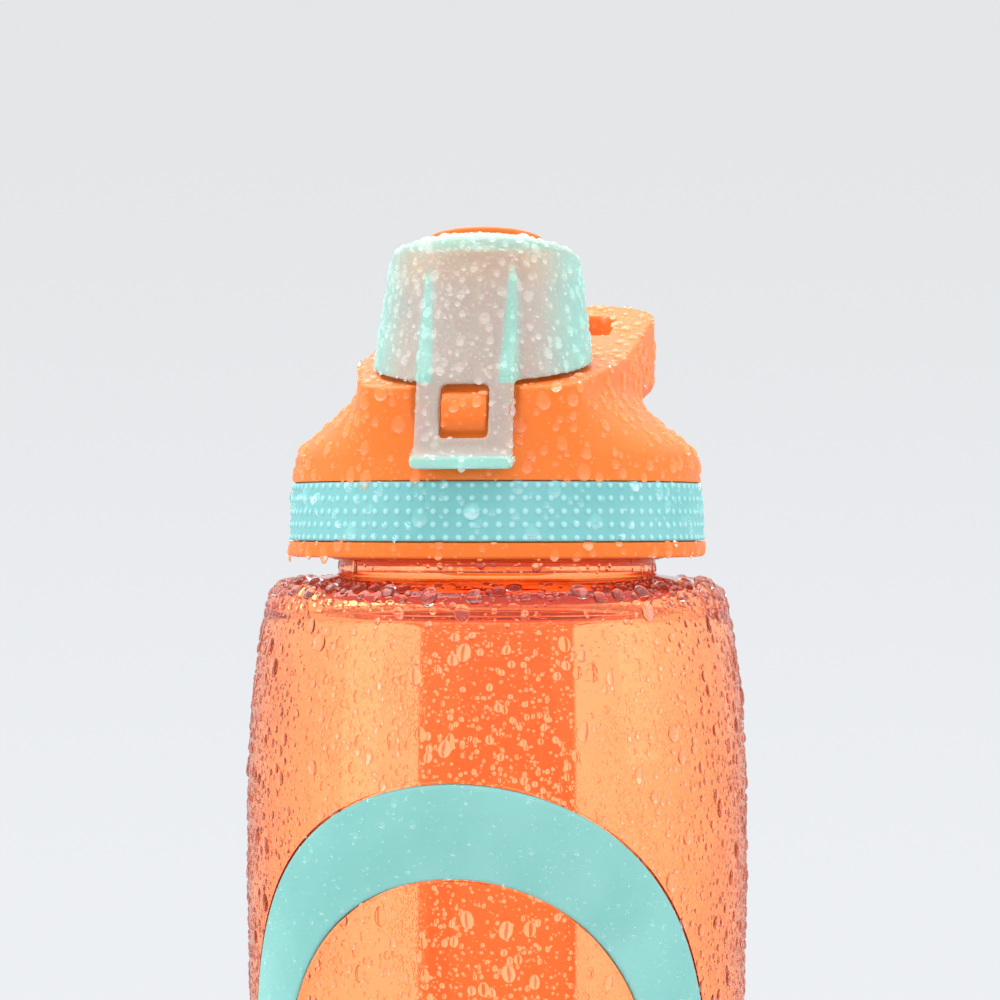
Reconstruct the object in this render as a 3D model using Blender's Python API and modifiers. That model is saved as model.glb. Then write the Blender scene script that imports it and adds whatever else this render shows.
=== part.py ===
"""Sports bottle with a screw lid, a locking flip cap, a carry loop and a soft grip ring.

Run with: blender --background --python part.py

The frame is in metres. The origin is the centre of the base, +Z is up, the cap and its hasp
face -Y and the carry loop points to +Y.
"""
import math

import bmesh
import bpy
from mathutils import Matrix, Vector

MM = 0.001

# General
GAP = 0.3 * MM                    # between pieces that touch or run in each other
SEGMENTS = 48                     # sides of a large turned piece
SMALL_SEGMENTS = 16               # sides of a pin or a hinge barrel

# Bottle body
BODY_HEIGHT = 158.4 * MM          # base to the outer edge of the shoulder
WAIST_RADIUS = 39.5 * MM
BULGE_RISE = 0.53 * MM            # how far the barrel swells above and below the waist
BULGE_OFFSET = 35.8 * MM          # height of the swell above the waist
CORNER_DROP = 4.8 * MM            # height of the rounded shoulder and base corners
CORNER_TUCK = 2.3 * MM            # how far the barrel has drawn in at those corners
SHOULDER_CORNER_WIDTH = 5.0 * MM
SHOULDER_RISE = 0.9 * MM          # slope of the shoulder up to the neck
BODY_WALL = 2.6 * MM
FOOT_WIDTH = 5.0 * MM
FOOT_CORNER = 4.0 * MM
PUSH_UP = 5.0 * MM                # hollow under the base

# Neck and thread
NECK_RADIUS = 25.5 * MM
NECK_WALL = 2.3 * MM
NECK_LENGTH = 16.6 * MM           # shoulder to the mouth
BEAD_WIDTH = 1.1 * MM             # collar at the lid's lower rim
BEAD_BASE = 2.4 * MM
BEAD_HEIGHT = 1.4 * MM
THREAD_PITCH = 4.0 * MM
THREAD_BEAD = 1.0 * MM            # radius of the round thread section
THREAD_TURNS = 1.5
THREAD_POINTS = 22                # points a turn
THREAD_START = 8.0 * MM           # first neck thread above the shoulder
THREAD_DEPTH = 1.4 * MM           # room between the neck and the liner

# Grip ring
RING_RADIUS = 43.0 * MM           # middle of the band, from the waist upwards
RING_SQUEEZE = 0.88               # its reach sideways, laid flat, as a share of that
RING_WIDTH = 14.0 * MM
RING_DEPTH = 1.0 * MM             # below the barrel's surface
RING_CROWN = 0.45 * MM            # above it
RING_EDGE = 0.6 * MM
RING_STEPS = 64

# Lid
LID_LIFT = 3.8 * MM               # shoulder edge to the lid's lower rim
LINER_WALL = 2.2 * MM
SHELL_WALL = 2.5 * MM
BAND_SEAT = 1.4 * MM              # depth of the band's groove
BAND_DRAFT = 0.5 * MM
LIP_HEIGHT = 2.4 * MM
BAND_HEIGHT = 9.4 * MM
SKIRT_INSET = 0.6 * MM            # upper skirt inside the lower lip
SKIRT_DRAFT = 0.35 * MM
FLARE_START = 15.6 * MM           # heights above the lid's lower rim
FLARE_HEIGHT = 10.5 * MM
FLARE_TOP = 27.0 * MM
FLARE_SHARE = 0.72
FRONT_HEIGHT = 10.4 * MM
FRONT_THICKENING = 1.6 * MM
TOP_HEIGHT = 32.37 * MM           # of the slanted top over the lid's axis
TOP_SLOPE = 0.215
TOP_CURL = 1.472                  # extra rise behind the axis, per metre
FRONT_MARGIN = 0.3 * MM           # deck in front of the cap
FRONT_HALF = 16.2 * MM
FRONT_CORNER = 6.0 * MM
SIDE_KNEE = 9.0 * MM
SIDE_HALF = 20.9 * MM
SIDE_CORNER = 40.0 * MM
DECK_REACH = 18.3 * MM
DECK_HALF = 22.2 * MM
DECK_CORNER = 5.0 * MM
LOFT_CENTRE = -6.0 * MM

# Carry loop
LOOP_REACH = 40.4 * MM
LOOP_HALF = 23.0 * MM
LOOP_CORNER = 10.0 * MM
LOOP_BAR = 7.4 * MM
LOOP_SIDE = 7.1 * MM
LOOP_UNDERSIDE = 26.6 * MM        # above the lid's lower rim
LOOP_ROOT = 12.0 * MM

# Flip cap, in a frame that leans back with it
CAP_SET_BACK = 13.0 * MM          # cap axis in front of the bottle's axis
CAP_LEVEL = 29.8 * MM             # origin of the cap's frame above the lid's lower rim
CAP_TILT = math.radians(7.3)
CAP_ROOM = 3.3 * MM               # between the spout and the cap's wall
CAP_TAPER = 0.1333
CAP_WALL = 1.6 * MM
CAP_EDGE = 16.0 * MM
CAP_FILLET = 2.0 * MM
CAP_CROWN = 20.7 * MM
CAP_RIM_GAP = 0.7 * MM
DISC_RADIUS = 9.2 * MM
DISC_PROUD = 0.2 * MM
DISC_SINK = 1.6 * MM
STEM_RADIUS = 7.6 * MM
RIB_WIDTH = 1.8 * MM
RIB_DEPTH = 0.9 * MM

# Hasp and catch
HASP_TOP_WIDTH = 14.8 * MM
HASP_FOOT_WIDTH = 15.4 * MM
HASP_THICKNESS = 1.8 * MM
HASP_LAP = 3.0 * MM
HASP_STANDOFF = 1.15 * MM         # outer face in front of the lower lip at the foot
HASP_CLEARANCE = 1.6 * MM         # foot above the band
TAB_HEIGHT = 1.8 * MM
TAB_REACH = 1.3 * MM
WINDOW_WIDTH = 7.5 * MM
WINDOW_FOOT = 4.6 * MM            # above the hasp's foot
WINDOW_HEIGHT = 8.2 * MM
CATCH_PLAY = 0.8 * MM             # between the catch and the bar below it
CATCH_HEIGHT = 6.3 * MM
CATCH_HOOK = 0.33 * MM
CATCH_PROUD = 0.9 * MM

# Hinge
HINGE_REACH = 3.4 * MM            # behind the cap
HINGE_LEVEL = 37.8 * MM           # above the lid's lower rim
BARREL_RADIUS = 2.4 * MM
CAP_BARREL = 10.0 * MM
LID_BARREL = 3.7 * MM
PIN_RADIUS = 1.1 * MM

# Spout and seals
SPOUT_BORE = 10.0 * MM
SPOUT_WALL = 2.2 * MM
SPOUT_TOP = 13.6 * MM             # in the cap's frame
SEAT_DEPTH = 2.2 * MM
SEAT_WIDTH = 1.4 * MM
GASKET_THICKNESS = 1.8 * MM
GASKET_WIDTH = 3.4 * MM
LINER_TOP = 2.0 * MM
LINER_CHAMFER = 3.4 * MM
SEAL_BEAD = 1.0 * MM              # radius of the seal's round section
SEAL_DROP = 0.6 * MM              # its middle below the spout's lip
SEAL_TUCK = 0.3 * MM              # and inside the bore
PLUG_REACH = 3.2 * MM             # plug below the spout's lip

# Derived places
WAIST = BODY_HEIGHT / 2
LID_BASE = BODY_HEIGHT + LID_LIFT
NECK_TOP = BODY_HEIGHT + NECK_LENGTH + SHOULDER_RISE
LINER_BORE = NECK_RADIUS + THREAD_DEPTH
LINER_RADIUS = LINER_BORE + LINER_WALL
CAVITY_RADIUS = LINER_RADIUS + GAP
LID_RADIUS = CAVITY_RADIUS + SHELL_WALL + BAND_SEAT
SKIRT_RADIUS = LID_RADIUS - SKIRT_INSET
BAND_BASE = LID_BASE + LIP_HEIGHT
BAND_TOP = BAND_BASE + BAND_HEIGHT
FLARE_BASE = LID_BASE + FLARE_START
ABOVE_LID = LID_BASE + TOP_HEIGHT + 16 * MM
SPOUT_RADIUS = SPOUT_BORE + SPOUT_WALL
CAP_RADIUS = SPOUT_RADIUS + CAP_ROOM + CAP_WALL
FRONT_REACH = CAP_SET_BACK + CAP_RADIUS + FRONT_MARGIN
HINGE_BACK = CAP_RADIUS - CAP_SET_BACK + HINGE_REACH
CAP_FRAME = (Matrix.Translation((0, -CAP_SET_BACK, LID_BASE + CAP_LEVEL))
             @ Matrix.Rotation(-CAP_TILT, 4, "X"))
HINGE = Vector((0, HINGE_BACK, LID_BASE + HINGE_LEVEL))
HASP_FOOT = BAND_TOP + HASP_CLEARANCE
SEAL_LEVEL = SPOUT_TOP - SEAL_DROP
SEAL_RADIUS = SPOUT_BORE - SEAL_TUCK


# ---------------------------------------------------------------- scene and materials

def clear_scene():
    for item in list(bpy.data.objects):
        bpy.data.objects.remove(item, do_unlink=True)


def collection(name):
    group = bpy.data.collections.new(name)
    bpy.context.scene.collection.children.link(group)
    return group


def finish(name, colour, roughness, transmission=0.0, metallic=0.0):
    material = bpy.data.materials.new(name)
    material.use_nodes = True
    shader = material.node_tree.nodes["Principled BSDF"]
    shader.inputs["Base Color"].default_value = (*colour, 1.0)
    shader.inputs["Roughness"].default_value = roughness
    shader.inputs["Transmission Weight"].default_value = transmission
    shader.inputs["Metallic"].default_value = metallic
    material.diffuse_color = (*colour, 1.0)
    return material


# ---------------------------------------------------------------- modelling helpers

def add_object(name, mesh, group, material=None):
    item = bpy.data.objects.new(name, mesh)
    group.objects.link(item)
    if material:
        mesh.materials.append(material)
    return item


def mark_cutter(item):
    item.hide_render = True
    item.display_type = "WIRE"
    return item


def lathe(name, profile, group, material=None, frame=None, segments=SEGMENTS):
    """Turn a closed outline of (radius, height) points about the frame's Z.

    The points run down the outer side. An edge that lies on the axis is left out.
    """
    mesh = bpy.data.meshes.new(name)
    points = [(radius, 0, height) for radius, height in profile]
    count = len(points)
    pairs = [(i, (i + 1) % count) for i in range(count)]
    edges = [(i, j) for i, j in pairs if points[i][0] or points[j][0]]
    mesh.from_pydata(points, edges, [])
    item = add_object(name, mesh, group, material)
    screw = item.modifiers.new("turn", "SCREW")
    screw.axis = "Z"
    screw.steps = segments
    screw.render_steps = segments
    screw.use_merge_vertices = len(edges) < count
    screw.merge_threshold = 0.00001
    if frame:
        item.matrix_world = frame
    return item


def plate(name, outlines, thickness, frame, group, material=None):
    """Flat outlines, the first the edge and the others holes, as a mesh of even thickness."""
    curve = bpy.data.curves.new(name, "CURVE")
    curve.dimensions = "2D"
    curve.fill_mode = "BOTH"
    curve.extrude = thickness / 2
    for outline in outlines:
        spline = curve.splines.new("POLY")
        spline.points.add(len(outline) - 1)
        spline.use_cyclic_u = True
        for point, place in zip(spline.points, outline):
            point.co = (*place, 0, 1)
    return mesh_from_curve(name, curve, frame, group, material)


def mesh_from_curve(name, curve, frame, group, material=None):
    source = bpy.data.objects.new(name, curve)
    group.objects.link(source)
    source.matrix_world = frame
    bpy.context.view_layer.update()
    mesh = bpy.data.meshes.new_from_object(
        source.evaluated_get(bpy.context.evaluated_depsgraph_get()))
    bpy.data.objects.remove(source, do_unlink=True)
    bpy.data.curves.remove(curve)
    work = bmesh.new()
    work.from_mesh(mesh)
    bmesh.ops.remove_doubles(work, verts=work.verts, dist=0.000001)
    bmesh.ops.recalc_face_normals(work, faces=work.faces)
    work.to_mesh(mesh)
    work.free()
    item = add_object(name, mesh, group, material)
    item.matrix_world = frame
    return item


def side_plate(name, outline, width, group, material=None, offset=0.0):
    """A plate whose outline is given as (y, z) points, centred at x = offset."""
    frame = Matrix(((0, 0, 1, offset), (1, 0, 0, 0), (0, 1, 0, 0), (0, 0, 0, 1)))
    return plate(name, [outline], width, frame, group, material)


def cross_pin(name, radius, length, centre, group, material=None):
    """A round bar along X."""
    mesh = bpy.data.meshes.new(name)
    work = bmesh.new()
    bmesh.ops.create_cone(work, cap_ends=True, segments=SMALL_SEGMENTS, radius1=radius,
                          radius2=radius, depth=length,
                          matrix=Matrix.Rotation(math.pi / 2, 4, "Y"))
    work.to_mesh(mesh)
    work.free()
    item = add_object(name, mesh, group, material)
    item.location = centre
    return item


def helix(name, radius, start, turns, bead, group):
    """A round thread that thins out at both ends."""
    curve = bpy.data.curves.new(name, "CURVE")
    curve.dimensions = "3D"
    curve.bevel_depth = bead
    curve.bevel_resolution = 1
    curve.use_fill_caps = True
    count = round(turns * THREAD_POINTS)
    spline = curve.splines.new("POLY")
    spline.points.add(count)
    for i, point in enumerate(spline.points):
        angle = 2 * math.pi * i / THREAD_POINTS
        height = start + THREAD_PITCH * i / THREAD_POINTS
        point.co = (radius * math.cos(angle), radius * math.sin(angle), height, 1)
        point.radius = min(1.0, 0.3 + 0.25 * min(i, count - i))
    return mesh_from_curve(name, curve, Matrix.Identity(4), group)


def loft(name, rings, group, material=None):
    """Closed skin over rings of equal count, listed from the bottom up, counter-clockwise."""
    mesh = bpy.data.meshes.new(name)
    work = bmesh.new()
    rows = [[work.verts.new(point) for point in ring] for ring in rings]
    count = len(rows[0])
    for low, high in zip(rows, rows[1:]):
        for i in range(count):
            j = (i + 1) % count
            work.faces.new((low[i], low[j], high[j], high[i]))
    work.faces.new(list(reversed(rows[0])))
    work.faces.new(rows[-1])
    work.to_mesh(mesh)
    work.free()
    return add_object(name, mesh, group, material)


def combine(item, other, operation):
    modifier = item.modifiers.new(other.name, "BOOLEAN")
    modifier.operation = operation
    modifier.solver = "MANIFOLD"  # EXACT leaves open edges in the lid at some cap sizes
    modifier.object = other
    mark_cutter(other)


def rounded(corners, steps=5):
    """Outline points of a polygon whose (x, y, radius) corners are rounded."""
    outline = []
    count = len(corners)
    for i, (x, y, radius) in enumerate(corners):
        corner = Vector((x, y))
        before = (Vector(corners[i - 1][:2]) - corner).normalized()
        after = (Vector(corners[(i + 1) % count][:2]) - corner).normalized()
        half = before.angle(after) / 2
        centre = corner + (before + after).normalized() * (radius / math.sin(half))
        start = corner + before * (radius / math.tan(half)) - centre
        sweep = start.angle_signed(corner + after * (radius / math.tan(half)) - centre)
        for step in range(steps + 1):
            turn = Matrix.Rotation(-sweep * step / steps, 2)
            outline.append(tuple(centre + turn @ start))
    return outline


def mirrored(corners):
    return corners + [(-x, y, radius) for x, y, radius in reversed(corners)]


def smoothstep(share):
    share = min(max(share, 0.0), 1.0)
    return share * share * (3 - 2 * share)


def shade(item):
    item.data.shade_smooth()
    item.data.set_sharp_from_angle(angle=math.radians(35))


# ---------------------------------------------------------------- bottle body and grip ring

def barrel_radius(height):
    """Outer radius of the barrel: a waist, a swell above and below it, then the corners."""
    offset = abs(height - WAIST)
    if offset < BULGE_OFFSET:
        return WAIST_RADIUS + BULGE_RISE * math.sin(math.pi / 2 * offset / BULGE_OFFSET) ** 2
    reach = WAIST - CORNER_DROP - BULGE_OFFSET
    share = (offset - BULGE_OFFSET) / reach
    return WAIST_RADIUS + BULGE_RISE - (BULGE_RISE + CORNER_TUCK) * share ** 2.8


def barrel_heights(inset):
    """Heights down the barrel, closer together where it curves more."""
    top = BODY_HEIGHT - CORNER_DROP - inset
    shares = [0.0, 0.05, 0.12, 0.22, 0.34, 0.5, 0.66, 0.78, 0.88, 0.95, 1.0]
    return [top + (CORNER_DROP + inset - top) * share for share in shares]


def corner_arc(outer, inner, low, high, steps=4):
    """Quarter ellipse from (inner, high) to (outer, low)."""
    points = []
    for step in range(steps):
        angle = math.pi / 2 * step / steps
        points.append((inner + (outer - inner) * math.sin(angle),
                       low + (high - low) * math.cos(angle)))
    return points


def body_profile():
    corner = barrel_radius(BODY_HEIGHT - CORNER_DROP)
    bead_base = BODY_HEIGHT + BEAD_BASE + SHOULDER_RISE
    outer = [
        (NECK_RADIUS - 0.5 * MM, NECK_TOP),
        (NECK_RADIUS, NECK_TOP - 0.5 * MM),
        (NECK_RADIUS, bead_base + BEAD_HEIGHT),
        (NECK_RADIUS + BEAD_WIDTH, bead_base + BEAD_HEIGHT - 0.2 * MM),
        (NECK_RADIUS + BEAD_WIDTH, bead_base + 0.2 * MM),
        (NECK_RADIUS, bead_base),
        (NECK_RADIUS, BODY_HEIGHT + SHOULDER_RISE + 0.6 * MM),
        (NECK_RADIUS + 0.8 * MM, BODY_HEIGHT + SHOULDER_RISE),
    ]
    outer += corner_arc(corner, corner - SHOULDER_CORNER_WIDTH, BODY_HEIGHT - CORNER_DROP,
                        BODY_HEIGHT)
    outer += [(barrel_radius(height), height) for height in barrel_heights(0)]
    foot = corner - FOOT_CORNER
    outer += [(corner - 0.6 * MM, CORNER_DROP / 2),
              (foot + 1.6 * MM, 0.6 * MM),
              (foot, 0.0),
              (foot - FOOT_WIDTH, 0.0),
              (foot - FOOT_WIDTH - 2 * MM, PUSH_UP / 2),
              (foot - FOOT_WIDTH - 8 * MM, PUSH_UP),
              (0.0, PUSH_UP + 1 * MM)]
    floor = PUSH_UP + BODY_WALL
    inner = [(0.0, floor + 1 * MM),
             (foot - FOOT_WIDTH - 8 * MM, floor),
             (corner - BODY_WALL - 3 * MM, floor),
             (corner - BODY_WALL - 0.4 * MM, floor + 2 * MM)]
    rise = reversed(barrel_heights(floor + 3.5 * MM - CORNER_DROP))
    inner += [(barrel_radius(height) - BODY_WALL, height) for height in rise]
    ceiling = BODY_HEIGHT - BODY_WALL
    inner += [(corner - BODY_WALL - 2 * MM, ceiling - 1.5 * MM),
              (corner - BODY_WALL - 5 * MM, ceiling),
              (NECK_RADIUS - NECK_WALL + 1.5 * MM, ceiling + SHOULDER_RISE / 2),
              (NECK_RADIUS - NECK_WALL, ceiling + SHOULDER_RISE + 1.5 * MM),
              (NECK_RADIUS - NECK_WALL, NECK_TOP)]
    return outer + inner


def wrapped_band(name, section, group, material=None):
    """An oval ring laid round the front of the barrel; section holds (radius, depth) points."""
    mesh = bpy.data.meshes.new(name)
    work = bmesh.new()
    rows = []
    for step in range(RING_STEPS):
        angle = 2 * math.pi * step / RING_STEPS
        row = []
        for radius, depth in section:
            height = WAIST + radius * math.sin(angle)
            bearing = RING_SQUEEZE * radius * math.cos(angle) / WAIST_RADIUS
            reach = barrel_radius(height) + depth
            row.append(work.verts.new((reach * math.sin(bearing), -reach * math.cos(bearing),
                                       height)))
        rows.append(row)
    count = len(section)
    for step in range(RING_STEPS):
        here, following = rows[step], rows[(step + 1) % RING_STEPS]
        for i in range(count):
            j = (i + 1) % count
            work.faces.new((here[i], following[i], following[j], here[j]))
    bmesh.ops.recalc_face_normals(work, faces=work.faces)
    work.to_mesh(mesh)
    work.free()
    return add_object(name, mesh, group, material)


def across(half, depth_at, steps):
    """Section points from the band's inner edge to its outer edge."""
    return [(RING_RADIUS + half * (2 * i / steps - 1), depth_at(2 * i / steps - 1))
            for i in range(steps + 1)]


def build_body(parts, cutters, clear_orange):
    body = lathe("bottle_body", body_profile(), parts, clear_orange)
    half = RING_WIDTH / 2 + GAP
    floor = -RING_DEPTH - GAP
    section = across(half, lambda share: floor, 4)
    section += [(radius, 2 * MM) for radius, depth in reversed(section)]
    combine(body, wrapped_band("ring_groove", section, cutters), "DIFFERENCE")
    thread = helix("neck_thread", NECK_RADIUS, BODY_HEIGHT + THREAD_START, THREAD_TURNS,
                   THREAD_BEAD, cutters)
    combine(body, thread, "UNION")
    return body


def build_grip_ring(parts, soft_mint):
    half = RING_WIDTH / 2
    crown = across(half - RING_EDGE, lambda share: RING_CROWN * (1 - 0.45 * share ** 2), 4)
    section = [(RING_RADIUS - half, -0.1 * MM), *crown, (RING_RADIUS + half, -0.1 * MM)]
    section += list(reversed(across(half, lambda share: -RING_DEPTH, 4)))
    return wrapped_band("grip_ring", section, parts, soft_mint)


# ---------------------------------------------------------------- lid

def top_height(y):
    """Height of the slanted top, which rises more quickly behind the axis."""
    return LID_BASE + TOP_HEIGHT + TOP_SLOPE * y + TOP_CURL * max(y, 0.0) ** 2


def top_line(shift):
    """The slanted top as (y, z) points from front to back."""
    return [(y * MM, top_height(y * MM) + shift) for y in (-60, 0, 10, 20, 30, 40, 50)]


def deck_outline():
    """Plan of the lid's top without its loop."""
    right = [(FRONT_HALF, -FRONT_REACH, FRONT_CORNER),
             (SIDE_HALF, -SIDE_KNEE, SIDE_CORNER),
             (DECK_HALF, DECK_REACH, DECK_CORNER)]
    return rounded(mirrored(right))


def ray_reach(outline, angle):
    """Distance from the loft's centre to an outline, along a bearing."""
    direction = Vector((math.cos(angle), math.sin(angle)))
    centre = Vector((0, LOFT_CENTRE))
    reach = 0.0
    for a, b in zip(outline, outline[1:] + outline[:1]):
        start = Vector(a) - centre
        edge = Vector(b) - Vector(a)
        spread = direction.cross(edge)
        if abs(spread) < 1e-12:
            continue
        along = start.cross(edge) / spread
        share = start.cross(direction) / spread
        if -1e-6 <= share <= 1 + 1e-6:
            reach = max(reach, along)
    return reach


def circle_reach(radius, angle):
    """Distance from the loft's centre to a circle about the axis, along a bearing."""
    across_axis = LOFT_CENTRE * math.cos(angle)
    return math.sqrt(radius ** 2 - across_axis ** 2) - LOFT_CENTRE * math.sin(angle)


def lid_ring(height, radius, outline, inset):
    """One level of the lid, between the round skirt and the plan of its top."""
    rise = height - FLARE_BASE
    side = FLARE_SHARE * smoothstep(rise / FLARE_HEIGHT)
    side += (1 - FLARE_SHARE) * min(max(rise / (FLARE_TOP - FLARE_START), 0.0), 1.0)
    front = min(max(rise / FRONT_HEIGHT, 0.0), 1.0)
    ring = []
    for step in range(SEGMENTS):
        angle = 2 * math.pi * step / SEGMENTS
        facing = smoothstep((-math.sin(angle) - 0.5) / 0.35)
        share = side + (front - side) * facing
        base = circle_reach(radius, angle)
        thinning = inset + (FRONT_THICKENING * facing if inset else 0.0)
        reach = base + (ray_reach(outline, angle) - thinning - base) * share
        ring.append((reach * math.cos(angle), LOFT_CENTRE + reach * math.sin(angle), height))
    return ring


def flare_levels():
    rises = [0.0, 1.5, 3.0, 4.5, 6.0, 8.0, 10.5, 14.0, 18.0]
    return [FLARE_BASE + rise * MM for rise in rises]


def lid_outside(group, material):
    seat = LID_RADIUS - BAND_SEAT
    outline = deck_outline()
    rings = [lid_ring(height, radius, outline, 0.0) for height, radius in (
        (LID_BASE, LID_RADIUS - 0.4 * MM), (LID_BASE + 0.4 * MM, LID_RADIUS),
        (BAND_BASE, LID_RADIUS), (BAND_BASE, seat), (BAND_TOP, seat),
        (BAND_TOP, SKIRT_RADIUS))]
    rings += [lid_ring(height, SKIRT_RADIUS - SKIRT_DRAFT, outline, 0.0)
              for height in flare_levels()]
    rings.append([(x, y, ABOVE_LID) for x, y, z in rings[-1]])
    return loft("lid_shell", rings, group, material)


def lid_inside(group):
    outline = deck_outline()
    rings = [lid_ring(height, CAVITY_RADIUS, outline, 0.0)
             for height in (LID_BASE - 5 * MM, FLARE_BASE - 0.5 * MM)]
    rings += [lid_ring(height, CAVITY_RADIUS, outline, SHELL_WALL)
              for height in flare_levels()[1:]]
    rings.append([(x, y, ABOVE_LID) for x, y, z in rings[-1]])
    return loft("lid_cavity", rings, group)


def carry_loop(group):
    outer = rounded([(LOOP_HALF - 1.3 * MM, LOOP_ROOT, 1 * MM),
                     (LOOP_HALF, LOOP_REACH, LOOP_CORNER),
                     (-LOOP_HALF, LOOP_REACH, LOOP_CORNER),
                     (-LOOP_HALF + 1.3 * MM, LOOP_ROOT, 1 * MM)])
    side = LOOP_HALF - LOOP_SIDE
    far = LOOP_REACH - LOOP_BAR
    near = DECK_REACH - 2.5 * MM
    hole = rounded([(side, near, 1 * MM), (side, far, 4 * MM), (-side, far, 4 * MM),
                    (-side, near, 1 * MM)])
    low = LID_BASE + LOOP_UNDERSIDE
    frame = Matrix.Translation((0, 0, (low + ABOVE_LID) / 2))
    return plate("carry_loop", [outer, hole], ABOVE_LID - low, frame, group)


def hasp_line(height, depth):
    """y of the hasp at a height, at a depth behind its outer face."""
    head = CAP_FRAME @ Vector((0, -CAP_RADIUS, 0))
    foot_y = -LID_RADIUS - HASP_STANDOFF
    share = (height - HASP_FOOT) / (head.z - HASP_FOOT)
    slope = (head.y - foot_y) / (head.z - HASP_FOOT)
    return foot_y + (head.y - foot_y) * share + depth * math.sqrt(1 + slope ** 2)


def catch_outline():
    """Side view of the catch: flat foot, sloped front that the hasp's bar clears, round top."""
    low = HASP_FOOT + WINDOW_FOOT + CATCH_PLAY
    bar = hasp_line(low - CATCH_PLAY, HASP_THICKNESS)
    swing = (HINGE.z - low) / (HINGE.y - bar)
    hook = bar - CATCH_HOOK
    knee = low + (CATCH_PROUD / (swing * 0.9))
    top = low + CATCH_HEIGHT
    root = hasp_line(top, HASP_THICKNESS) + 1.6 * MM
    front = hook - CATCH_PROUD
    return [(root, low), (hook, low), (front, knee), (front + 0.35 * MM, top - 1.6 * MM),
            (front + 1.0 * MM, top - 0.5 * MM), (front + 2.0 * MM, top), (root, top)]


def build_lid_shell(parts, cutters, orange):
    lid = lid_outside(parts, orange)
    combine(lid, carry_loop(cutters), "UNION")
    top = top_line(0.0) + [(50 * MM, ABOVE_LID + 10 * MM), (-60 * MM, ABOVE_LID + 10 * MM)]
    combine(lid, side_plate("top_cut", top, 120 * MM, cutters), "DIFFERENCE")
    cavity = lid_inside(cutters)
    roof = [(y, z - SHELL_WALL) for y, z in top]
    combine(cavity, side_plate("roof_cut", roof, 110 * MM, cutters), "DIFFERENCE")
    combine(lid, cavity, "DIFFERENCE")

    low = HASP_FOOT - GAP
    high = LID_BASE + TOP_HEIGHT
    pocket = [(-LID_RADIUS - 5 * MM, low), (hasp_line(low, HASP_THICKNESS) + GAP, low),
              (hasp_line(high, HASP_THICKNESS) + GAP, high), (-LID_RADIUS - 5 * MM, high)]
    combine(lid, side_plate("hasp_pocket", pocket, HASP_FOOT_WIDTH + 2 * GAP, cutters),
            "DIFFERENCE")
    combine(lid, side_plate("catch", catch_outline(), WINDOW_WIDTH - 2 * GAP, cutters),
            "UNION")

    half = BARREL_RADIUS
    for side in (-1, 1):
        x = side * (CAP_BARREL / 2 + GAP + LID_BARREL / 2)
        root = top_height(HINGE.y) - 1.5 * MM
        post = [(HINGE.y - half, root), (HINGE.y + half, root), (HINGE.y + half, HINGE.z),
                (HINGE.y - half, HINGE.z)]
        combine(lid, side_plate(f"post_{side}", post, LID_BARREL, cutters, offset=x), "UNION")
        barrel = cross_pin(f"lid_barrel_{side}", BARREL_RADIUS * 1.01, LID_BARREL + 0.02 * MM,
                           HINGE + Vector((x, 0, 0)), cutters)
        combine(lid, barrel, "UNION")
    bore = cross_pin("lid_hinge_bore", PIN_RADIUS + GAP, 30 * MM, HINGE, cutters)
    combine(lid, bore, "DIFFERENCE")
    hole = [(SPOUT_RADIUS + GAP, SPOUT_TOP), (SPOUT_RADIUS + GAP, -20 * MM),
            (0, -20 * MM)]
    opening = lathe("spout_hole", [(0, SPOUT_TOP), *hole], cutters, frame=CAP_FRAME,
                    segments=32)
    combine(lid, opening, "DIFFERENCE")
    return lid


def build_lid_band(parts, mint):
    inner = LID_RADIUS - BAND_SEAT + GAP
    low, high = BAND_BASE + GAP, BAND_TOP - GAP
    profile = [(inner, high), (LID_RADIUS - BAND_DRAFT - 0.3 * MM, high),
               (LID_RADIUS - BAND_DRAFT, high - 0.3 * MM), (LID_RADIUS, low + 0.3 * MM),
               (LID_RADIUS - 0.3 * MM, low), (inner, low)]
    return lathe("lid_band", profile, parts, mint)


def build_lid_liner(parts, cutters, orange):
    under = NECK_TOP + GASKET_THICKNESS + 2 * GAP
    over = under + LINER_TOP
    profile = [(6 * MM, over), (LINER_RADIUS - LINER_CHAMFER, over),
               (LINER_RADIUS, over - LINER_CHAMFER),
               (LINER_RADIUS, LID_BASE + GAP), (LINER_BORE, LID_BASE + GAP),
               (LINER_BORE, under), (6 * MM, under)]
    liner = lathe("lid_liner", profile, parts, orange)
    root = (under + LINER_TOP / 2 - (LID_BASE + CAP_LEVEL)) / math.cos(CAP_TILT)
    tube = [(0, SPOUT_TOP), (SPOUT_RADIUS - 0.8 * MM, SPOUT_TOP),
            (SPOUT_RADIUS, SPOUT_TOP - 0.8 * MM), (SPOUT_RADIUS, root), (0, root)]
    combine(liner, lathe("spout_tube", tube, cutters, frame=CAP_FRAME, segments=32), "UNION")
    bore = [(0, SPOUT_TOP + 5 * MM), (SPOUT_BORE + SEAT_WIDTH, SPOUT_TOP + 5 * MM),
            (SPOUT_BORE + SEAT_WIDTH, SPOUT_TOP + SEAT_WIDTH - SEAT_DEPTH),
            (SPOUT_BORE, SPOUT_TOP - SEAT_DEPTH), (SPOUT_BORE, root - 8 * MM),
            (0, root - 8 * MM)]
    combine(liner, lathe("spout_bore", bore, cutters, frame=CAP_FRAME, segments=32), "DIFFERENCE")
    start = BODY_HEIGHT + THREAD_START - THREAD_PITCH / 2
    thread = helix("liner_thread", LINER_BORE, start, THREAD_TURNS, THREAD_BEAD, cutters)
    combine(liner, thread, "UNION")
    return liner


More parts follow.
